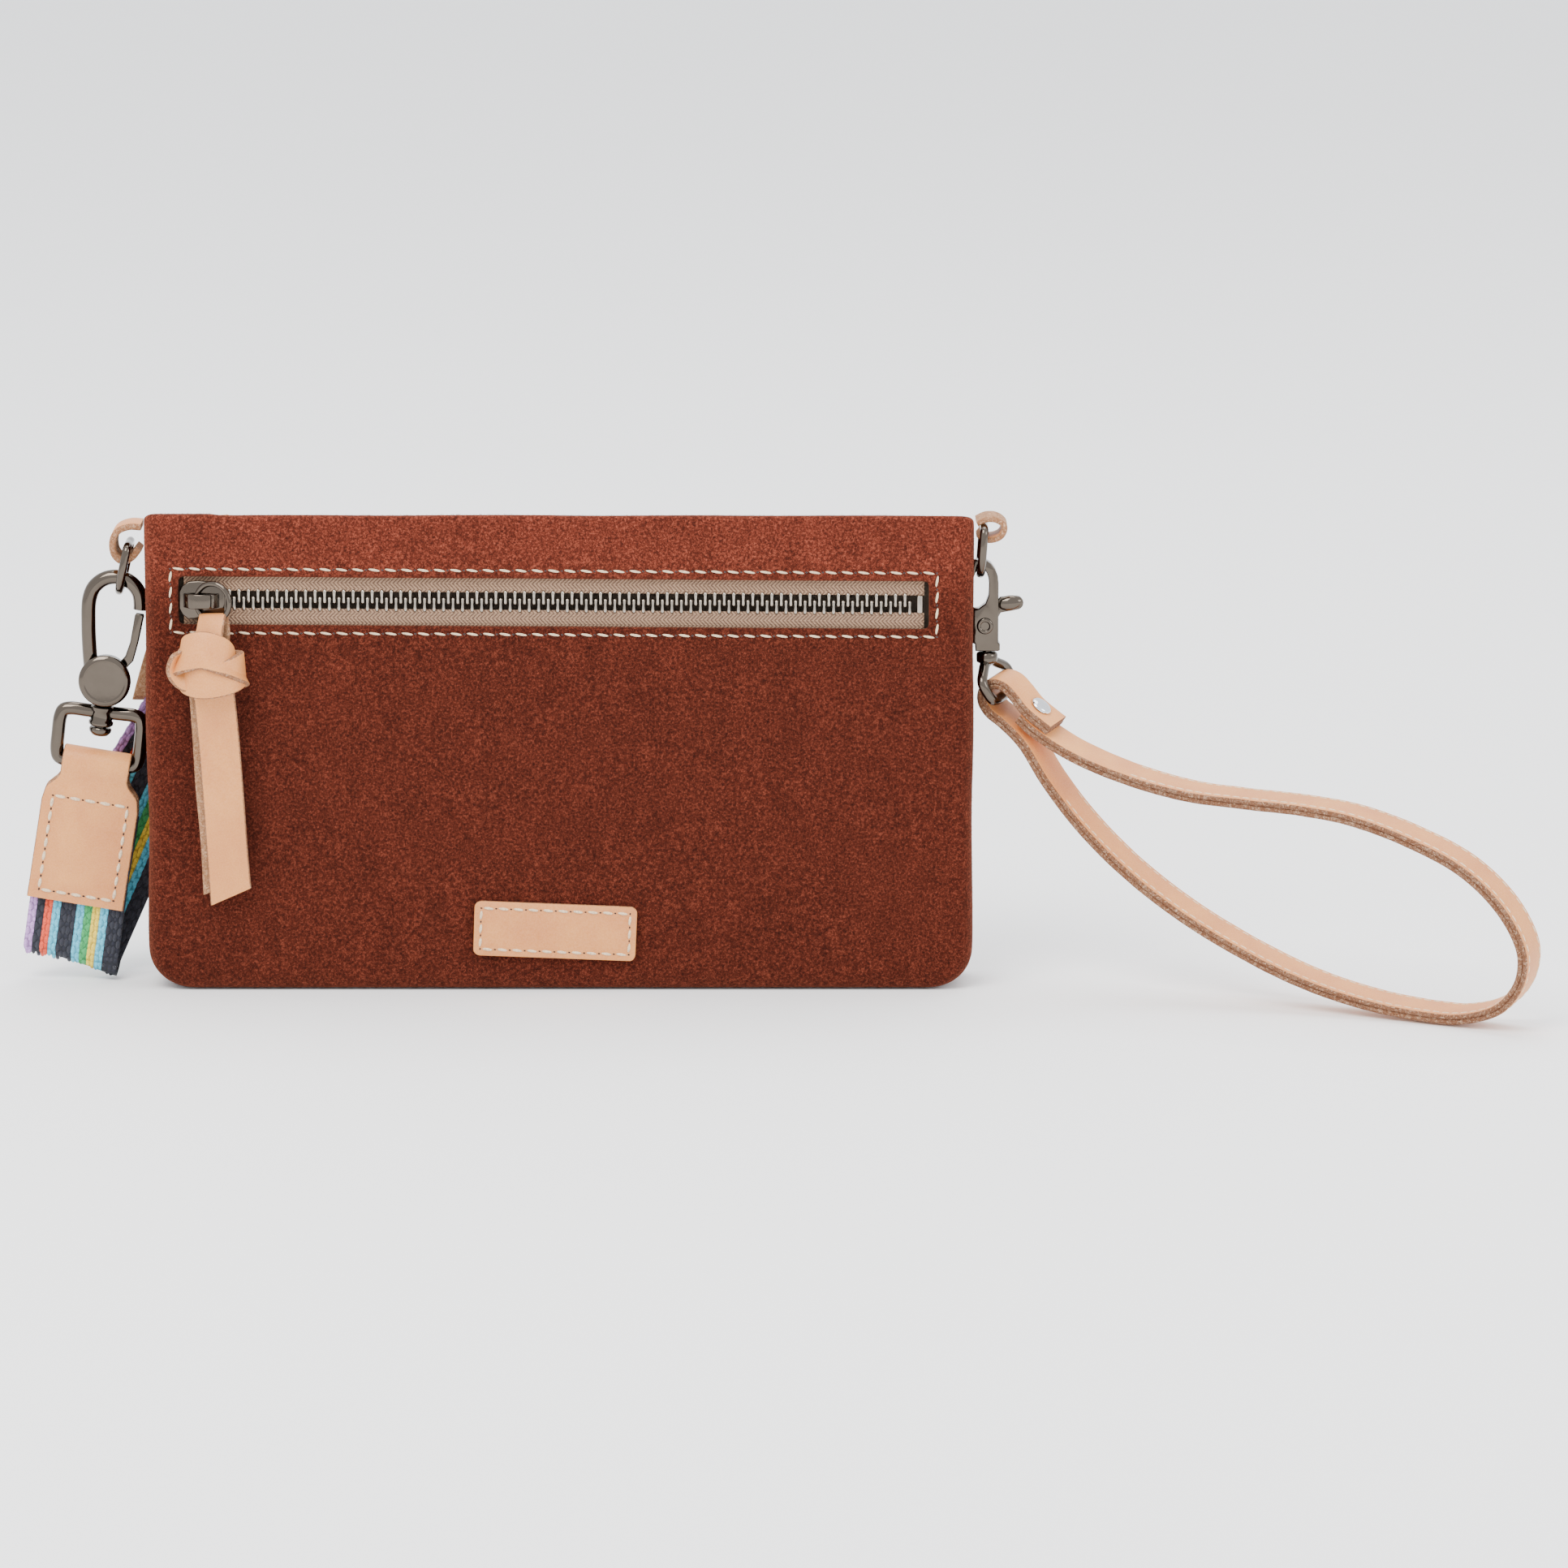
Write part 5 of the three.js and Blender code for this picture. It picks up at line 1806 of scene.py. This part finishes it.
@dataclass
class StrapTab:
    """Leather end of the shoulder strap, folded over the hook's square ring."""

    node: str
    place: Place
    bar: float = 2.45
    thick: float = 1.8
    length: float = 42.0
    half: float = 14.2
    narrow: float = 9.9

    def build(self, shop: Workshop) -> None:
        """Make the tab and its stitching.

        Args:
            shop: The workshop.
        """
        shape = Sculpt()
        middle = self.bar + self.thick / 2
        flat = 0.65 + 0.4 + self.thick / 2
        profile = [(-flat, -self.length), (-flat, -30), (-flat, -18), (-flat - 0.1, -9.5), (-2.6, -5.0),
                   (-middle, -1.2)]
        profile += [(middle * math.cos(a), middle * math.sin(a)) for a in np.radians([165, 135, 90, 45, 15])]
        profile += [(middle, -1.2), (2.6, -5.0), (flat + 0.1, -9.5), (flat, -18), (flat, -30),
                    (flat, -self.length)]
        path = spline([(0, y, z) for y, z in profile], 110)
        section, sides = strip_section(2 * self.half, self.thick)
        shape.sweep(path, Vector((1, 0, 0)), section, False, sides)
        for i, centre in enumerate(path):
            wide = float(np.interp(centre.z, [-12.5, -8.5, -5.5, -4.0],
                                   [self.half, self.half - 0.7, self.narrow + 0.8, self.narrow]))
            for k, (a, _) in enumerate(section):
                p = shape.points[i * len(section) + k]
                p.x = math.copysign(abs(a) - self.half + wide, a)
        shop.make(f"leather_{self.node}", shape, LEATHERS, "leather", self.node, place=self.place)
        x, top, low = self.half - 3.2, -11.0, -self.length + 2.6
        for face, name in ((-1, "front"), (1, "back")):
            y = face * (flat + self.thick / 2)
            line = [(-x, y, top), (x, y, top), (x, y, low), (-x, y, low), (-x, y, top)]
            thread = Sculpt().stitches(line, (0, face, 0), 4.3, 0.5, 0.05, 0.74)
            shop.make(f"{self.node}_{name}_stitching", thread, [Finish.THREAD, Finish.HOLE_SHADE], "leather",
                      body=shop.bodies[self.node], place=self.place)


@dataclass
class Webbing:
    """Striped webbing of the shoulder strap and its folded bundle."""

    width: float = 28.0
    thick: float = 1.1
    column: float = 1.165
    repeat: float = 3.7
    colours: tuple[str, ...] = STRIPE_ORDER

    def route(self) -> tuple[list[Vector], list[Vector]]:
        """Give the visible run's centre line and width directions.

        Returns:
            Both, evenly spaced.
        """
        points = [(-137.1, 0, 51), (-139.4, 0, 37), (-141.7, 0, 23.4), (-143.2, 0, 13.4), (-144.0, 0.4, 8.2),
                  (-144.0, 2.9, 5.5),
                  (-143.2, 5.8, 8.7), (-141, 8.4, 13.8), (-135.5, 11.8, 26), (-127.5, 15, 44),
                  (-120, 16.6, 60), (-113, 18, 73),
                  (-108.5, 20.5, 80.5), (-106.5, 24.5, 83.5), (-105.5, 28.5, 80), (-105, 30.5, 69),
                  (-105, 31.2, 55), (-105, 31.6, 40),
                  (-104.8, 32, 25), (-103.6, 32, 12), (-101.4, 32, 6.2), (-99.4, 32, 4.2)]
        across = [(0.98, 0, -0.165)] * 3 + [(0.98, 0, -0.14), (0.98, -0.12, -0.1), (0.98, -0.15, -0.1),
                                            (0.98, -0.1, -0.14), (0.95, 0, -0.28),
                  (0.92, 0, -0.38)] + [(0.91, 0, -0.41)] * 4 + [(0.91, 0, -0.38), (0.94, 0, -0.3),
            (0.96, 0.15, -0.15), (0.85, 0.5, 0),
                  (0.5, 0.86, 0), (0.15, 0.98, 0), (0, 1, 0), (0, 1, 0), (0, 1, 0)]
        count = 220
        return spline(points, count), spline(across, count)

    def build(self, shop: Workshop) -> None:
        """Make the webbing, its floats and the bundle.

        Args:
            shop: The workshop.
        """
        path, across = self.route()
        base = Sculpt()
        far = 0.0
        frames = []
        for i, p in enumerate(path):
            ahead = (path[min(i + 1, len(path) - 1)] - path[max(i - 1, 0)]).normalized()
            side = (across[i] - ahead * across[i].dot(ahead)).normalized()
            far += (p - path[i - 1]).length if i else 0
            frames.append((p, side, side.cross(ahead), ahead, far))
        self.ribbon(base, frames)
        cloth = shop.make("webbing_ground", base, [Finish.WEBBING], "webbing", "webbing", ride=True)
        for colour in sorted(set(self.colours)):
            floats = Sculpt()
            for k, name in enumerate(self.colours):
                if name == colour:
                    for j in (0, 1):
                        a = -self.width / 2 + (2 * k + j + 0.5) * self.column
                        self.floats(floats, frames, a, (j + k) % 2 * self.repeat / 2)
            shop.make(f"webbing_{colour}", floats, [Finish[colour.upper()]], "webbing", body="strap")
        self.bundle(shop)

    def ribbon(self, shape: Sculpt, frames: list[tuple]) -> None:
        """Add the flat ground of the webbing."""
        marks = [float(a) for a in np.linspace(-self.width / 2, self.width / 2, 13)]
        section = [(a, self.thick / 2) for a in marks] + [(a, -self.thick / 2) for a in reversed(marks)]
        for p, side, up, _, far in frames:
            for a, b in section:
                shape.cloth[len(shape.points)] = (a + self.width / 2, far)
                shape.points.append(p + side * a + up * b * (0.6 if abs(a) > self.width / 2 - 0.1 else 1))
        n = len(section)
        for i in range(len(frames) - 1):
            for k in range(n):
                e = (k + 1) % n
                shape.face((i * n + k, i * n + e, (i + 1) * n + e, (i + 1) * n + k))
        shape.face(list(range(n)))
        shape.face(list(reversed(range((len(frames) - 1) * n, len(frames) * n))))

    def floats(self, shape: Sculpt, frames: list[tuple], a: float, shift: float) -> None:
        """Lay one column of raised yarn ovals on both faces."""
        total = frames[-1][4]
        fars = [f[4] for f in frames]
        for k in range(int(total / self.repeat)):
            s = shift + (k + 0.5) * self.repeat
            if s > total - 2 or s < 9:
                continue
            i = min(len(frames) - 2, max(0, int(np.searchsorted(fars, s)) - 1))
            p, side, up, ahead, base = frames[i]
            at = p + (frames[i + 1][0] - p) * ((s - base) / max(1e-6, frames[i + 1][4] - base)) + side * a
            for face in (1, -1):
                spot = at + up * face * (self.thick / 2 + 0.02)
                shape.bead(spot, ahead, up * face, (1.42, 0.66, 0.42), 0, 6)

    def bundle(self, shop: Workshop) -> None:
        """Fold the rest of the webbing into its bundle."""
        x0, x1, y, z0, z1 = -97.8, -0.8, 32.0, 2.7, 17.3
        layers = 10
        pitch = (z1 - z0) / (layers - 1)
        points: list[tuple[float, float, float]] = []
        for k in range(layers):
            z = z0 + k * pitch
            inset = 1.8 if k in (0, layers - 1) else 1.0
            run = [x0 + inset, (x0 + x1) / 2 - 30, (x0 + x1) / 2, (x0 + x1) / 2 + 30, x1 - inset]
            if k % 2:
                run.reverse()
            points += [(x, y, z + 0.12 * wobble(x, z, 20, 4)) for x in run]
            if k + 1 < layers:
                points.append(((x1 if k % 2 == 0 else x0), y, z + pitch / 2))
        path = spline(points, 760)
        frames = []
        far = 0.0
        for i, p in enumerate(path):
            ahead = (path[min(i + 1, len(path) - 1)] - path[max(i - 1, 0)]).normalized()
            far += (p - path[i - 1]).length if i else 0
            frames.append((p, Vector((0, 1, 0)), Vector((0, 1, 0)).cross(ahead), ahead, far))
        shape = Sculpt()
        self.ribbon(shape, frames)
        piece = shop.make("webbing_bundle", shape, [Finish.WEBBING], "webbing", "webbing_hank")
        keeper = rounded_box(15.6, 9.0, 2.6, 6)
        loop = [Vector((-60, 32 + a, 10 + b)) for a, b in keeper]
        section, sides = strip_section(8.0, 1.4)
        band = Sculpt().sweep(loop, Vector((1, 0, 0)), section, True, sides)
        shop.make("keeper", band, LEATHERS, "leather", "hank_tie")
        buckle = Sculpt()
        z = 19.6
        for x, half in ((-31, 1.0), (-24, 1.1), (-17, 1.0)):
            buckle.tube([(x, 15.6, z), (x, 32, z), (x, 48.4, z)], half * 1.1, (1, 0, 0), 12)
        for side in (15.6, 48.4):
            buckle.tube([(-31.2, side, z), (-24, side, z), (-16.8, side, z)], 1.15, (0, 0, 1), 12)
        shop.make("slide_buckle", buckle, [Finish.GUNMETAL], "gunmetal", "strap_adjuster")


@dataclass
class Clasp:
    """Lobster clasp with its lever, rivet and swivel eye."""

    origin: tuple[float, float, float] = (123.3, 0, 105.9)
    stem: float = 124.0

    def build(self, shop: Workshop) -> None:
        """Make the clasp.

        Args:
            shop: The workshop.
        """
        place = Place(Vector(self.origin))
        outer = [(3.9, 12.5)] + [(-1.2 + 5.1 * math.cos(a),
                                  12.5 + 7 * math.sin(a)) for a in np.radians([18, 36, 54, 72, 90, 108, 126,
            144, 162, 180])]
        inner = [(-1.2 + 2.3 * math.cos(a),
                  12.5 + 4.4 * math.sin(a)) for a in np.radians([180, 157, 135, 112, 90, 68, 45, 22, 0])]
        outline = [(-2.7, -7.5), (3.9, -7.5), (4.4, -7.2), (4.4, -5.4), (3.9, -4.9),
                   (3.9, 2)] + outer[0:1] + outer[1:]
        outline += [(-6.2, 11.2), (-3.7, 11.5)] + inner + [(1.0, 9), (0.1, 6.4), (-1.8, 4.9), (-4.3, 4.7),
            (-4.4, -4.9), (-2.9, -5.4)]
        clean = [p for k, p in enumerate(outline) if math.dist(p, outline[k - 1]) > 0.05]
        body = Sculpt().slab(clean, -2.3, 2.3, 0.35, 3)
        shop.make("clasp_frame", body, [Finish.GUNMETAL], "gunmetal", "clasp_body", place=place)
        lever = [(-1.4, -1.5), (1.0, -1.6), (2.4, -0.6), (4.6, 3.6), (9.2, 4.5)] + arc((9.2, 6.5), 2.0, -70,
            90, 8)
        lever += [(4.4, 8.2), (2.8, 6.2), (0.6, 2.8), (-3.0, 3.4), (-4.0, 6), (-4.3, 10.1), (-6.1, 10.1),
                  (-5.9, 4), (-3.2, 0.6)]
        shop.make("clasp_lever", Sculpt().slab(lever, -0.95, 0.95, 0.3), [Finish.GUNMETAL], "gunmetal",
                  "clasp_trigger", place=place)
        thumb = Sculpt().bead((7.2, 0, 6.3), (1, 0, 0.12), (0, 0, 1), (4.0, 1.9, 2.35), 0, 20)
        shop.make("clasp_thumb", thumb, [Finish.GUNMETAL], "gunmetal", body=shop.bodies["clasp_trigger"],
                  place=place)
        rivet = Sculpt()
        for face in (-1, 1):
            rivet.lathe([(0.01, 0), (2.4, 0), (2.4, 0.3), (2.2, 0.6), (1.7, 0.7), (1.3, 0.5), (1.2, 0.3),
                         (0.01, 0.28)], (0, face * 2.35, 0), (0, face, 0), 36)
        shop.make("clasp_pivot", rivet, [Finish.GUNMETAL], "gunmetal", "clasp_rivet", place=place)
        leaf = Sculpt().slab([(-2.6, -2.62), (2.6, -2.62), (2.6, -2.3), (-2.6, -2.3)], -0.5, 0.5, 0.08, 1)
        shop.make("clasp_leaf", leaf, [Finish.GUNMETAL], "gunmetal", "clasp_spring", place=place)
        self.eye(shop)

    def eye(self, shop: Workshop) -> None:
        """Make the swivel eye."""
        basis = WristLoop.basis()
        bar, across = WristLoop.BAR, basis.col[1]
        collar = Vector((self.stem, 0, 95.4))
        half = [(0, 0), (0, 5.5), (0.06, 7.6), (0.25, 8.6), (0.56, 8.7), (0.8, 5), (0.94, 1.8)]
        loop = [bar.lerp(collar, t) + across * s for t, s in half] + [bar.lerp(collar, t) - across * s for t,
            s in reversed(half[1:])]
        normal = (collar - bar).cross(across)
        shape = Sculpt().tube([tuple(p) for p in loop], 1.5, tuple(normal), 90, True)
        stem = [(0.01, 94.6), (2.4, 94.6), (3.0, 95.0), (3.1, 95.6), (3.1, 97.2), (2.8, 97.7), (2.2, 98.0),
                (1.3, 98.05), (1.3, 100.5), (0.01, 100.6)]
        shape.lathe(stem, (self.stem, 0, 0), (0, 0, 1), 36)
        shop.make("eye_wire", shape, [Finish.GUNMETAL], "gunmetal", "swivel_eye")


@dataclass
class WristLoop:
    """Leather wrist strap, folded over the swivel eye and riveted."""

    BAR = Vector((129, 0, 85))
    width: float = 12.0
    thick: float = 3.2
    turn: float = 25.0
    tilt: float = 5.0

    @staticmethod
    def basis() -> Matrix:
        """Give the loop's own directions: along, across and up, as columns.

        Returns:
            The turn from loop to wallet.
        """
        a, b = math.radians(25.0), math.radians(5.0)
        along = Vector((math.cos(a), -math.sin(a), 0))
        across = Vector((math.sin(a) * math.cos(b), math.cos(a) * math.cos(b), math.sin(b)))
        up = along.cross(across)
        return Matrix((along, across, up)).transposed()

    def build(self, shop: Workshop) -> None:
        """Make the strap, its edge stitching and its rivet.

        Args:
            shop: The workshop.
        """
        place = Place(self.BAR, self.basis())
        route = [(16.2, -7.8), (13.5, -6.0), (8.9, -2.6), (5.4, 1.4), (2.6, 4.0), (-0.8, 4.8), (-3.8, 2.9),
                 (-4.6, -0.4), (-2.8, -3.8),
                 (1.4, -6.9), (7.6, -12.6), (14.9, -23.8), (25.2, -36.3), (38.8, -48.6), (54.8, -59.5),
                 (73.2, -69.0), (93.8, -77.0),
                 (113.2, -81.4), (130.3, -83.0), (141.6, -82.7), (152.9, -78.7), (159.1, -71.4),
                 (160.8, -63.4), (159.2, -56.9),
                 (153.2, -47.5), (142.1, -38.1), (125.2, -30.8), (108.3, -26.3), (93.6, -24.9), (74.1, -24.5),
                 (58.0, -23.8),
                 (39.5, -20.4), (22.2, -14.7), (11.2, -8.7), (6.6, -5.0)]
        path = spline([(s, 0, u) for s, u in route], 420)
        section, sides = self.section()
        shape = Sculpt().sweep(path, Vector((0, 1, 0)), section, False, sides)
        for p in shape.points:
            p.z += 0.08 * wobble(p.x, p.y, 6, 3)
        shop.make("wrist_leather", shape, [Finish.LEATHER, Finish.STRAP_EDGE, Finish.LEATHER], "leather",
                  "wrist_strap", place=place)
        self.sew(shop, place, path)
        slope = Matrix.Rotation(math.radians(39), 3, "Y")
        spot = Place(self.BAR + place.turn @ Vector((9.6, 0, -5.0)), place.turn @ slope)
        cap = Sculpt().lathe([(0.01, 3.2), (2.9, 3.2), (3.2, 3.5), (3.1, 3.9), (2.4, 4.3), (1.2, 4.5),
                              (0.01, 4.55)], (0, 0, 0), (0, 0, 1), 40)
        cap.lathe([(0.01, -8.6), (1.1, -8.6), (1.1, 3.4), (0.01, 3.4)], (0, 0, 0), (0, 0, 1), 20)
        shop.make("rivet_dome", cap, [Finish.SILVER], "rivet_metal", "wrist_rivet_cap", place=spot)
        back = Sculpt().lathe([(0.01, -9.9), (2.2, -9.9), (2.8, -9.5), (2.8, -9.1), (0.01, -9.05)], (0, 0, 0),
                              (0, 0, 1), 36)
        shop.make("rivet_base", back, [Finish.SILVER], "rivet_metal", "wrist_rivet_back", place=spot)

    def section(self) -> tuple[Outline, list[int]]:
        """Section of two strips glued back to back, with a groove along each edge.

        Returns:
            The section and its sides' finishes.
        """
        w, t = self.width / 2, self.thick / 2
        right = [(w - 0.9, -t), (w - 0.35, -t + 0.12), (w, -t + 0.5), (w, -0.55), (w - 0.1, -0.25),
                 (w - 0.5, 0.0), (w - 0.1, 0.25), (w, 0.55),
                 (w, t - 0.5), (w - 0.35, t - 0.12), (w - 0.9, t)]
        section = right + [(-a, -b) for a, b in right]
        sides = []
        for k, (a, _) in enumerate(section):
            nxt = section[(k + 1) % len(section)]
            sides.append(1 if abs(a) > w - 0.6 and abs(nxt[0]) > w - 0.6 else 0)
        return section, sides

    def sew(self, shop: Workshop, place: Place, path: list[Vector]) -> None:
        """Sew both edges of the loop on its broad faces."""
        thread = Sculpt()
        first, last = 70, len(path) - 40
        for edge in (-1, 1):
            for k in range(first, last, 3):
                ahead = (path[k + 1] - path[k - 1]).normalized()
                up = Vector((0, 1, 0)).cross(ahead)
                for face in (-1, 1):
                    at = path[k] + Vector((0, edge * (self.width / 2 - 1.7),
                                           0)) + up * face * (self.thick / 2)
                    thread.bead(at, ahead, up * face, (1.3, 0.3, 0.2), 0, 6)
        shop.make("wrist_stitching", thread, [Finish.THREAD], "leather", body=shop.bodies["wrist_strap"],
                  place=place)


# ---------------------------------------------------------------- stage
@dataclass
class Studio:
    """Floor, lights and camera."""

    target: tuple[float, float, float] = (65.0, -13.0, 61.3)
    elevation: float = 12.0
    distance: float = 2200.0
    lens: float = 174.2

    def build(self) -> None:
        """Make the stage."""
        bpy.ops.mesh.primitive_plane_add(size=6, location=(0, 0, -0.0004))
        floor = bpy.context.object
        floor.name = "studio_floor"
        floor.data.materials.append(finish(Finish.FLOOR))
        world = bpy.data.worlds.new("studio") if not bpy.context.scene.world else bpy.context.scene.world
        bpy.context.scene.world = world
        world.use_nodes = True
        world.node_tree.nodes["Background"].inputs[0].default_value = (0.95, 0.97, 1.0, 1)
        world.node_tree.nodes["Background"].inputs[1].default_value = 2.0
        self.light("key", (-0.5, -0.9, 1.5), 30, 0.9, (1.0, 0.97, 0.93))
        self.light("top", (0.2, 0.5, 1.6), 17, 1.1, (1.0, 1.0, 1.0))
        self.light("side", (1.3, -0.6, 0.7), 7, 0.6, (0.95, 0.97, 1.0))
        up = math.radians(self.elevation)
        target = Vector(self.target) * MM
        lens = bpy.data.cameras.new("view")
        lens.lens = self.lens
        lens.sensor_width = 36
        lens.clip_end = 20
        camera = bpy.data.objects.new("view", lens)
        camera.location = target + Vector((0, -math.cos(up), math.sin(up))) * self.distance * MM
        camera.rotation_euler = (math.pi / 2 - up, 0, 0)
        bpy.context.scene.collection.objects.link(camera)
        bpy.context.scene.camera = camera

    def light(self, name: str, at: Point, power: float, size: float,
              tone: tuple[float, float, float]) -> None:
        """Hang one soft light that faces the wallet.

        Args:
            name: Its name.
            at: Its place in metres.
            power: Its power in watts.
            size: Its side in metres.
            tone: Its colour.
        """
        lamp = bpy.data.lights.new(name, "AREA")
        lamp.energy = power
        lamp.size = size
        lamp.color = tone
        rig = bpy.data.objects.new(name, lamp)
        rig.location = at
        rig.rotation_euler = (Vector((0.05, 0, 0.06)) - Vector(at)).to_track_quat("-Z", "Y").to_euler()
        bpy.context.scene.collection.objects.link(rig)


def main() -> None:
    """Build every piece of the wallet and the stage."""
    logging.basicConfig(level=logging.INFO, format="%(name)s: %(message)s")
    random.seed(7)
    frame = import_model()
    record = frame["record"]
    shop = Workshop(record)
    lean = math.atan((11.6 - 9.4) / (139.5 - 80))
    front_turn = Matrix.Rotation(-lean, 3, "X") @ Matrix.Rotation(math.radians(0.4), 3, "Y")
    front_y = -(11.6 - 2.2 * (114.2 - 80) / 59.5) + 1.6 + 0.3 + 0.4
    left = Place(Vector((-132.3, 0, 89.8)), Matrix.Rotation(math.radians(7), 3, "Y"))
    bar = left.at + left.turn @ Vector((0, 0, -25.15))
    tab = Place(bar, Matrix.Rotation(math.radians(9.5), 3, "Y"))
    far_turn = Matrix(((0, -1, 0), (0, 0, -1), (1, 0, 0))).transposed()
    far = Place(Vector((71.2, 32, 4.8)), far_turn)
    far_bar = Place(far.at + far_turn @ Vector((0, 0, -25.15)), far_turn)
    pieces = [
        Bag(),
        Pouches(),
        Label(),
        Zip("front", (-1.5, front_y, 114.2), front_turn, ((1, "upper"), (-1, "lower")), 12.8),
        Zip("top", (-1.5, 0, 127), Matrix.Rotation(-math.pi / 2, 3, "X"), ((1, "back"), (-1, "front")), 6.5),
        FrontKnot(),
        TopKnot(),
        SideTab("left_tab", ((-120.9, 135.4), (-124.4, 135.5), (-127.6, 134.2), (-129.1, 131.2),
                             (-128.6, 127.2), (-126.4, 125.4), (-123.8, 126.4),
                             (-121.6, 129.0))),
        SideTab("right_tab", ((120.8, 136.4), (123.4, 137.6), (126.6, 137.4), (128.7, 135.6), (128.0, 133.0),
                              (125.6, 131.7), (123.0, 131.8),
                              (121.2, 133.2)), thick=1.7),
        DRing("left_d_ring", "left_d_ring_swing", 12),
        DRing("right_d_ring", "right_d_ring_swing", 4),
        Hook("left", left),
        StrapTab("strap_tab", tab),
        Webbing(),
        Hook("far", far),
        StrapTab("far_tab", far_bar),
        Clasp(),
        WristLoop(),
    ]
    for piece in pieces:
        before = len(shop.made)
        piece.build(shop)
        LOG.info("%s: %s", type(piece).__name__, ", ".join(shop.made[before:]))
    Studio().build()


if __name__ == "__main__":
    main()
